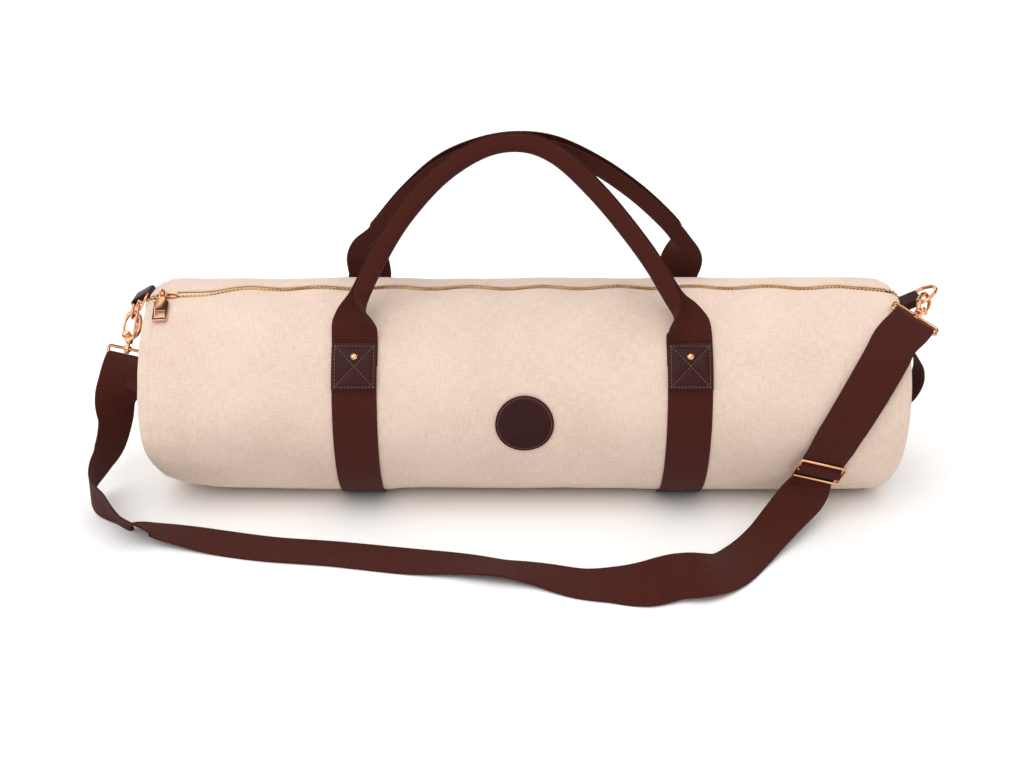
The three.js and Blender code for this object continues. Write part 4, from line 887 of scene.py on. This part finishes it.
def zipper():
    xs = spread(-HALF * 0.965, HALF * 0.965, CLOTH_STEP)
    for side, name in ((1, "front"), (-1, "back")):
        arcs = side * np.linspace(CHAIN_WIDTH / 2 - 1.4, 15, 6)
        x, a = np.meshgrid(xs, arcs / RADIUS, indexing="ij")
        tape = cloth(f"tape_{name}", skin(x, a, -CANVAS - GAP - 0.4), 0.8, tape_cloth)
        place_piece(tape, BAG, "zip_cloth", f"zip_tape_{name}")
    xs = spread(-HALF, HALF, 2.0)
    line = skin(xs, 0.0, chain_out(xs) + 0.6)
    over = panel_point(-1, np.array([0.96, 0.985]), 0.0)
    over[:, 0] -= GAP + CHAIN_THICK / 2
    line = resample(np.vstack([over, line]), 620)
    teeth = rows_of("zip_teeth", TOOTH_TREE, [line], brass, **TOOTH_ROW)
    place_piece(teeth, BAG, "teeth", "zip_chain")
    cord_rows = []
    for shift, sink in ((-2.6, 1.5), (2.6, 0.6)):
        cord_rows.append(tube(line + np.array([0, shift, -sink]), 0.55, False, 8))
    place_piece(fused("zip_cords", cord_rows, tape_cloth), BAG, "zip_cloth")
    xs = spread(-HALF * 0.97, HALF * 0.97, 3.0)
    rows = [skin(xs, (SLOT_FRONT + 5.0) / RADIUS, 0.28), skin(xs, -(SLOT_BACK + 5.0) / RADIUS, 0.28)]
    stitches = rows_of("zip_stitches", STITCH_TREE, rows, pale_thread, **CANVAS_STITCH)
    place_piece(stitches, BAG, "canvas")
    for name in ("top", "end"):
        slider = rounded_copy(f"zip_slider_{name}", f"slider_{name}", rose_gold, 0.45, 3)
        place_piece(slider, BAG, "rose_gold", f"zip_slider_{name}")
        pull = rounded_copy(f"zip_pull_{name}", f"pull_{name}", rose_gold, 0.3, 2)
        place_piece(pull, f"pull_{name}", "rose_gold", f"zip_pull_{name}")


def seam_stitches():
    paths = []
    for side in (-1, 1):
        angles = np.linspace(SLOT_FRONT / RADIUS + 0.1, 2 * np.pi - SLOT_BACK / RADIUS - 0.1, 200)
        paths.append(skin(side * (HALF - 9.5), angles, 0.12))
    stitches = rows_of("seam_stitches", STITCH_TREE, paths, pale_thread, **CANVAS_STITCH)
    place_piece(stitches, BAG, "canvas")


# End fittings

TAB_LENGTH = 14.0
TAB_THICK = 6.4
D_WIDTH, D_DEPTH, D_WIRE = 25.0, 18.0, 1.6
RING_WIDTH, RING_HEIGHT, RING_WIRE, RING_CORNER = 43.4, 8.5, 1.5, 2.2
CLAW_HIGH, CLAW_WIDE = 9.0, 6.5
PIVOT_DROP, HUB_DROP = 12.0, 24.0
FITTINGS = {
    "left": dict(side=-1, y=6.0, height=0.945, tab_run=(-0.865, 0, -0.5), ring_run=(-0.27, 0, -0.96),
                 held=90, hold=4.7, hook_up=(0.2, 0.42, 0.885), hook_across=(0.87, -0.5, 0)),
    "right": dict(side=1, y=-4.0, height=0.905, tab_run=(0.9, 0, 0.42), ring_run=(0.85, 0, 0.52),
                  held=12, hold=3.0, hook_up=(0.5, 0.84, 0.21), hook_across=(0.92, -0.12, -0.37)),
}
ACROSS = np.array([0.0, 1.0, 0.0])


def d_point(bar, ring_run, angle):
    bow = D_DEPTH * max(0.0, math.sin(angle)) ** 0.8
    return bar + ACROSS * D_WIDTH / 2 * math.cos(angle) + ring_run * bow


def fitting_seat(name):
    f = FITTINGS[name]
    side = f["side"]
    height = f["height"] * 2 * RADIUS
    rise = (height - AXIS_HEIGHT) / RADIUS
    start = np.array([side * (HALF + DOME[side] * (1 - min(1, (rise / 0.9) ** 2)) + TAB_THICK / 2 + GAP),
                      f["y"], height])
    bar = start + unit(f["tab_run"]) * TAB_LENGTH
    ring_run = unit(f["ring_run"])
    turn = f["held"] * DEGREE
    held = d_point(bar, ring_run, math.pi - turn)
    up = unit(f["hook_up"])
    normal = ring_run * D_DEPTH * math.cos(turn) + ACROSS * D_WIDTH / 2 * math.sin(turn)
    normal = unit(unit(normal) - up * unit(normal).dot(up))
    eye = held - up * f["hold"]
    across = np.asarray(f["hook_across"], float)
    across = unit(across - up * across.dot(up))
    hub = eye - up * HUB_DROP
    return dict(start=start, bar=bar, ring_run=ring_run, up=up, normal=normal, eye=eye, across=across,
                hub=hub, lower=hub - up * RING_HEIGHT, sideways=unit(np.cross(up, normal)))


def loop_path(origin, x, y, width, height, corner, shift, steps=6):
    points = []
    for sx, sy, start in ((1, 1, 0), (-1, 1, 90), (-1, -1, 180), (1, -1, 270)):
        for i in range(steps + 1):
            angle = (start + 90 * i / steps) * DEGREE
            u = sx * (width / 2 - corner) + corner * math.cos(angle)
            v = sy * (height / 2 - corner) + corner * math.sin(angle) + shift
            points.append(origin + x * u + y * v)
    return np.array(points)


def round_rod(radius, edge=0.3):
    """Half profile of a short rod with rounded rims, as a function of its height."""
    return lambda height: [(radius - edge, -height / 2), (radius, -height / 2 + edge),
                           (radius, height / 2 - edge), (radius - edge, height / 2)]


def end_fittings():
    for name in ("left", "right"):
        seat = fitting_seat(name)
        tab = rounded_copy(f"end_tab_{name}", f"leather_tab_{name}", leather, 0.7, 3)
        place_piece(tab, BAG, "leather", f"end_tab_{name}")
        bow = np.array([d_point(seat["bar"], seat["ring_run"], t) for t in np.linspace(0, math.pi, 48)])
        bar = np.linspace(bow[-1], bow[0], 14)[1:-1]
        normal = unit(np.cross(ACROSS, seat["ring_run"]))
        wire = tube(np.vstack([bow, bar]), D_WIRE, True, 16, 1, normal)
        ring = fused(f"wire_d_ring_{name}", [wire], rose_gold, 60)
        place_piece(ring, BAG, "rose_gold", f"d_ring_{name}")
        swivel_hook(name, seat)
        wire_normal = unit(np.cross(seat["across"], seat["up"]))
        loop = loop_path(seat["hub"], seat["across"], seat["up"], RING_WIDTH, RING_HEIGHT, RING_CORNER,
                         -RING_HEIGHT / 2)
        barrel = [(1.6, -2.6), (3.0, -2.6), (3.5, -1.6), (3.7, 0), (3.5, 1.6), (3.0, 2.6), (1.6, 2.6)]
        shells = [tube(loop, RING_WIRE, True, 16, 1, wire_normal), turned(barrel, seat["hub"], seat["up"])]
        strap_ring = fused(f"wire_strap_ring_{name}", shells, rose_gold, 60)
        place_piece(strap_ring, BAG, "rose_gold", f"strap_ring_{name}")


def swivel_hook(name, seat):
    eye, side, up, normal = seat["eye"], seat["sideways"], seat["up"], seat["normal"]

    def at(u, v, w=0.0):
        return eye + side * u + up * v + normal * w

    claw = resample([at(-1, -PIVOT_DROP - 3), at(-CLAW_WIDE * 0.9, -PIVOT_DROP + 4), at(-CLAW_WIDE, 0),
                     at(-CLAW_WIDE * 0.72, CLAW_HIGH * 0.72), at(0, CLAW_HIGH),
                     at(CLAW_WIDE * 0.72, CLAW_HIGH * 0.72), at(CLAW_WIDE, CLAW_HIGH * 0.12)], 48)
    thickness = np.interp(np.linspace(0, 1, 48), [0, 0.3, 0.75, 1], [2.3, 2.1, 1.9, 1.6])
    cheek = round_rod(3.8, 0.5)(1.6)
    pin = [(1.3, -0.5), (1.2, 0.3), (0.7, 0.6)]
    neck = [(2.6, -7.4), (3.4, -6.6), (3.5, -4.6), (3.0, -3.2), (2.4, -2.0)]
    boss = [(3.2, -3.0), (3.4, -2.0), (3.4, 2.0), (3.2, 3.0)]
    swivel_end = [(1.6, -0.9), (2.4, -0.3), (2.5, 0.4), (1.9, 0.7)]
    shells = [tube(claw, thickness, False, 16, 1, normal)]
    for w in (-2.5, 2.5):
        shells.append(turned(cheek, at(3.2, -PIVOT_DROP, w), normal))
        shells.append(turned(pin, at(3.2, -PIVOT_DROP, w * 1.35), normal * np.sign(w), 14))
    shells.append(turned(neck, at(0, -PIVOT_DROP), up))
    shells.append(turned(boss, at(1.2, -PIVOT_DROP - 3.4), normal, 20))
    shells.append(turned(round_rod(1.5, 0.2)(8.6), at(0, -HUB_DROP + 0.9), up, 16))
    shells.append(turned(swivel_end, at(0, -HUB_DROP - 3.6), up, 20))
    place_piece(fused(f"swivel_hook_{name}", shells, rose_gold, 60), BAG, "rose_gold", f"hook_body_{name}")
    tip = CLAW_HIGH * 0.12 - GAP - 0.6
    rod = resample([at(4.4, -PIVOT_DROP + 1), at(CLAW_WIDE, -PIVOT_DROP + 5), at(CLAW_WIDE, tip)], 20)
    gate = [turned(round_rod(2.2, 0.3)(2.4), at(4.2, -PIVOT_DROP + 0.9), normal, 20),
            tube(rod, 1.1, False, 12, 1, normal)]
    gate_bar = fused(f"hook_gate_bar_{name}", gate, rose_gold, 60)
    place_piece(gate_bar, f"gate_{name}", "rose_gold", f"hook_gate_{name}")


# Shoulder strap and its adjuster

STRAP_INNER = 2.2
STRAP_OUTER = STRAP_INNER + WEB_THICK + 0.5
ADJUSTER_WIDTH, ADJUSTER_HEIGHT, ADJUSTER_WIRE = 43.4, 19.0, 1.3
BAR_SINK = 0.9
ADJUSTER_OUT = STRAP_OUTER + WEB_THICK / 2 + GAP + ADJUSTER_WIRE
ADJUSTER_AROUND = 113
CLIMB_FROM, CLIMB_TO = 98, 42.5


def up_front(around, out):
    return skin(through(CLIMB[:, 0], CLIMB[:, 1], around, True) * HALF, around * DEGREE, out)


def adjuster_seat():
    at = up_front(ADJUSTER_AROUND, ADJUSTER_OUT)
    run = unit(up_front(ADJUSTER_AROUND - 10, ADJUSTER_OUT) - at)
    normal = unit(at - up_front(ADJUSTER_AROUND, 0))
    wide = unit(np.cross(run, normal))
    return at, wide, run, unit(np.cross(wide, run))


def adjuster():
    origin, x, y, normal = adjuster_seat()
    loop = loop_path(origin, x, y, ADJUSTER_WIDTH, ADJUSTER_HEIGHT, RING_CORNER, 0)
    middle, reach = origin - normal * BAR_SINK, x * ADJUSTER_WIDTH / 2
    bar = np.linspace(middle - reach, middle + reach, 12)
    shells = [tube(loop, ADJUSTER_WIRE, True, 14, 1, normal),
              tube(bar, ADJUSTER_WIRE * 0.85, False, 12, 1, normal)]
    place_piece(fused("adjuster_frame", shells, rose_gold, 60), BAG, "rose_gold", "strap_adjuster")


def wrap_rows(centre, wide, up, out, reach):
    turns = np.array([-80, -40, 0, 40, 80]) * DEGREE
    return [(centre + up * reach * math.cos(t) + out * reach * math.sin(t), wide) for t in turns]


def free_row(row):
    along, out, lift, turn, tilt = row
    turn, tilt = turn * DEGREE, tilt * DEGREE
    wide = np.array([math.cos(turn) * math.cos(tilt), math.sin(turn) * math.cos(tilt), math.sin(tilt)])
    rise = abs(WEB / 2 * math.sin(tilt)) + WEB_THICK / 2 * math.cos(tilt)
    return np.array([along * HALF, -out * RADIUS, lift * RADIUS + rise]), wide


def lying_row(around, out):
    run = up_front(around - 3, out) - up_front(around + 3, out)
    normal = up_front(around, out) - up_front(around, 0)
    return up_front(around, out), unit(np.cross(normal, run))


def strap_rows():
    left, right = fitting_seat("left"), fitting_seat("right")
    reach = RING_WIRE + 1.3 * GAP + WEB_THICK / 2
    free = [free_row(row) for row in STRAP]
    wide = left["across"]
    pull = left["lower"] - free[0][0]
    distance = np.linalg.norm(pull)
    along_pull = -pull / distance
    pull = unit(pull - wide * pull.dot(wide))
    out = unit(np.cross(wide, pull))
    out = -out if out[1] > 0 else out
    sewn = [(left["lower"] + along_pull * drop + out * shift, wide)
            for drop, shift in ((26, -2.4), (14, -2.6), (5, -2.7))]
    origin, x, y, normal = adjuster_seat()
    passes = [(-1, STRAP_OUTER + 4.5), (-0.75, STRAP_OUTER + 0.8), (-0.5, STRAP_OUTER),
              (-0.34, STRAP_OUTER + 0.5),
              (-0.15, ADJUSTER_OUT + 1.3), (0, ADJUSTER_OUT + 1.7), (0.15, ADJUSTER_OUT + 1.3),
              (0.34, STRAP_OUTER + 0.5), (0.5, STRAP_OUTER), (0.75, STRAP_OUTER)]
    threaded = [(origin + y * run * ADJUSTER_HEIGHT + normal * (level - ADJUSTER_OUT), -x)
                for run, level in passes]
    rising = np.linspace(CLIMB_FROM, CLIMB_TO, 9)
    right_out = unit(np.cross(right["across"], right["up"]))
    right_out = -right_out if right_out[2] < 0 else right_out
    lower, up, right_wide = right["lower"], right["up"], -right["across"]
    return (sewn + wrap_rows(left["lower"], wide, pull, out, reach) + free + threaded
            + [lying_row(a, STRAP_OUTER) for a in rising]
            + [(lower - up * 6 + right_out * reach * 0.9, right_wide)]
            + wrap_rows(lower, right_wide, up, right_out, reach)[::-1]
            + [(lower - up * 6 - right_out * reach * 0.75, right_wide)]
            + [lying_row(a, STRAP_INNER) for a in rising[::-1]]
            + [(origin + y * run * ADJUSTER_HEIGHT + normal * (STRAP_INNER - ADJUSTER_OUT), -x)
               for run in (0.9, 0.35)])


def shoulder_strap():
    rows = strap_rows()
    centre, wide = resample([r[0] for r in rows], 720, np.array([r[1] for r in rows]))
    run = unit(np.gradient(centre, axis=0))
    wide = unit(wide - run * (wide * run).sum(axis=1, keepdims=True))
    across = np.linspace(-WEB / 2 + 0.4, WEB / 2 - 0.4, 9)
    grid = centre[:, None] + wide[:, None] * across[None, :, None]
    piece = cloth("webbing_strap", grid, WEB_THICK, webbing)
    place_piece(piece, BAG, "webbing", "shoulder_strap")


def end_handles():
    for side, name in ((-1, "left"), (1, "right")):
        y, table = END_HANDLES[side]
        rows = []
        for height, bulge in table:
            z = height * 2 * RADIUS
            share = abs(z - AXIS_HEIGHT) / (RADIUS * 0.9)
            face = HALF + DOME[side] * (1 - share * share) + WEB_THICK / 2 + GAP + 0.5
            rows.append((side * (face + bulge * RADIUS), y, z))
        path = resample(rows, 60)
        across = np.linspace(-END_HANDLE_WIDTH / 2, END_HANDLE_WIDTH / 2, 7)
        grid = path[:, None] + ACROSS[None, None] * across[None, :, None]
        piece = cloth(f"webbing_end_handle_{name}", grid, WEB_THICK, webbing)
        place_piece(piece, BAG, "webbing", f"end_handle_{name}")


def studio_floor():
    bpy.ops.mesh.primitive_plane_add(size=30, location=(0, 0, -0.0005))
    floor = bpy.context.object
    floor.name = "floor"
    floor.data.materials.append(floor_paint)


canvas_body()
end_cap(-1, "left")
end_cap(1, "right")
bands()
leather_patches()
leather_badge()
handle(FRONT_HANDLE, 1, "front")
handle(BACK_HANDLE, -1, "back")
zipper()
seam_stitches()
end_fittings()
adjuster()
shoulder_strap()
end_handles()
studio_floor()
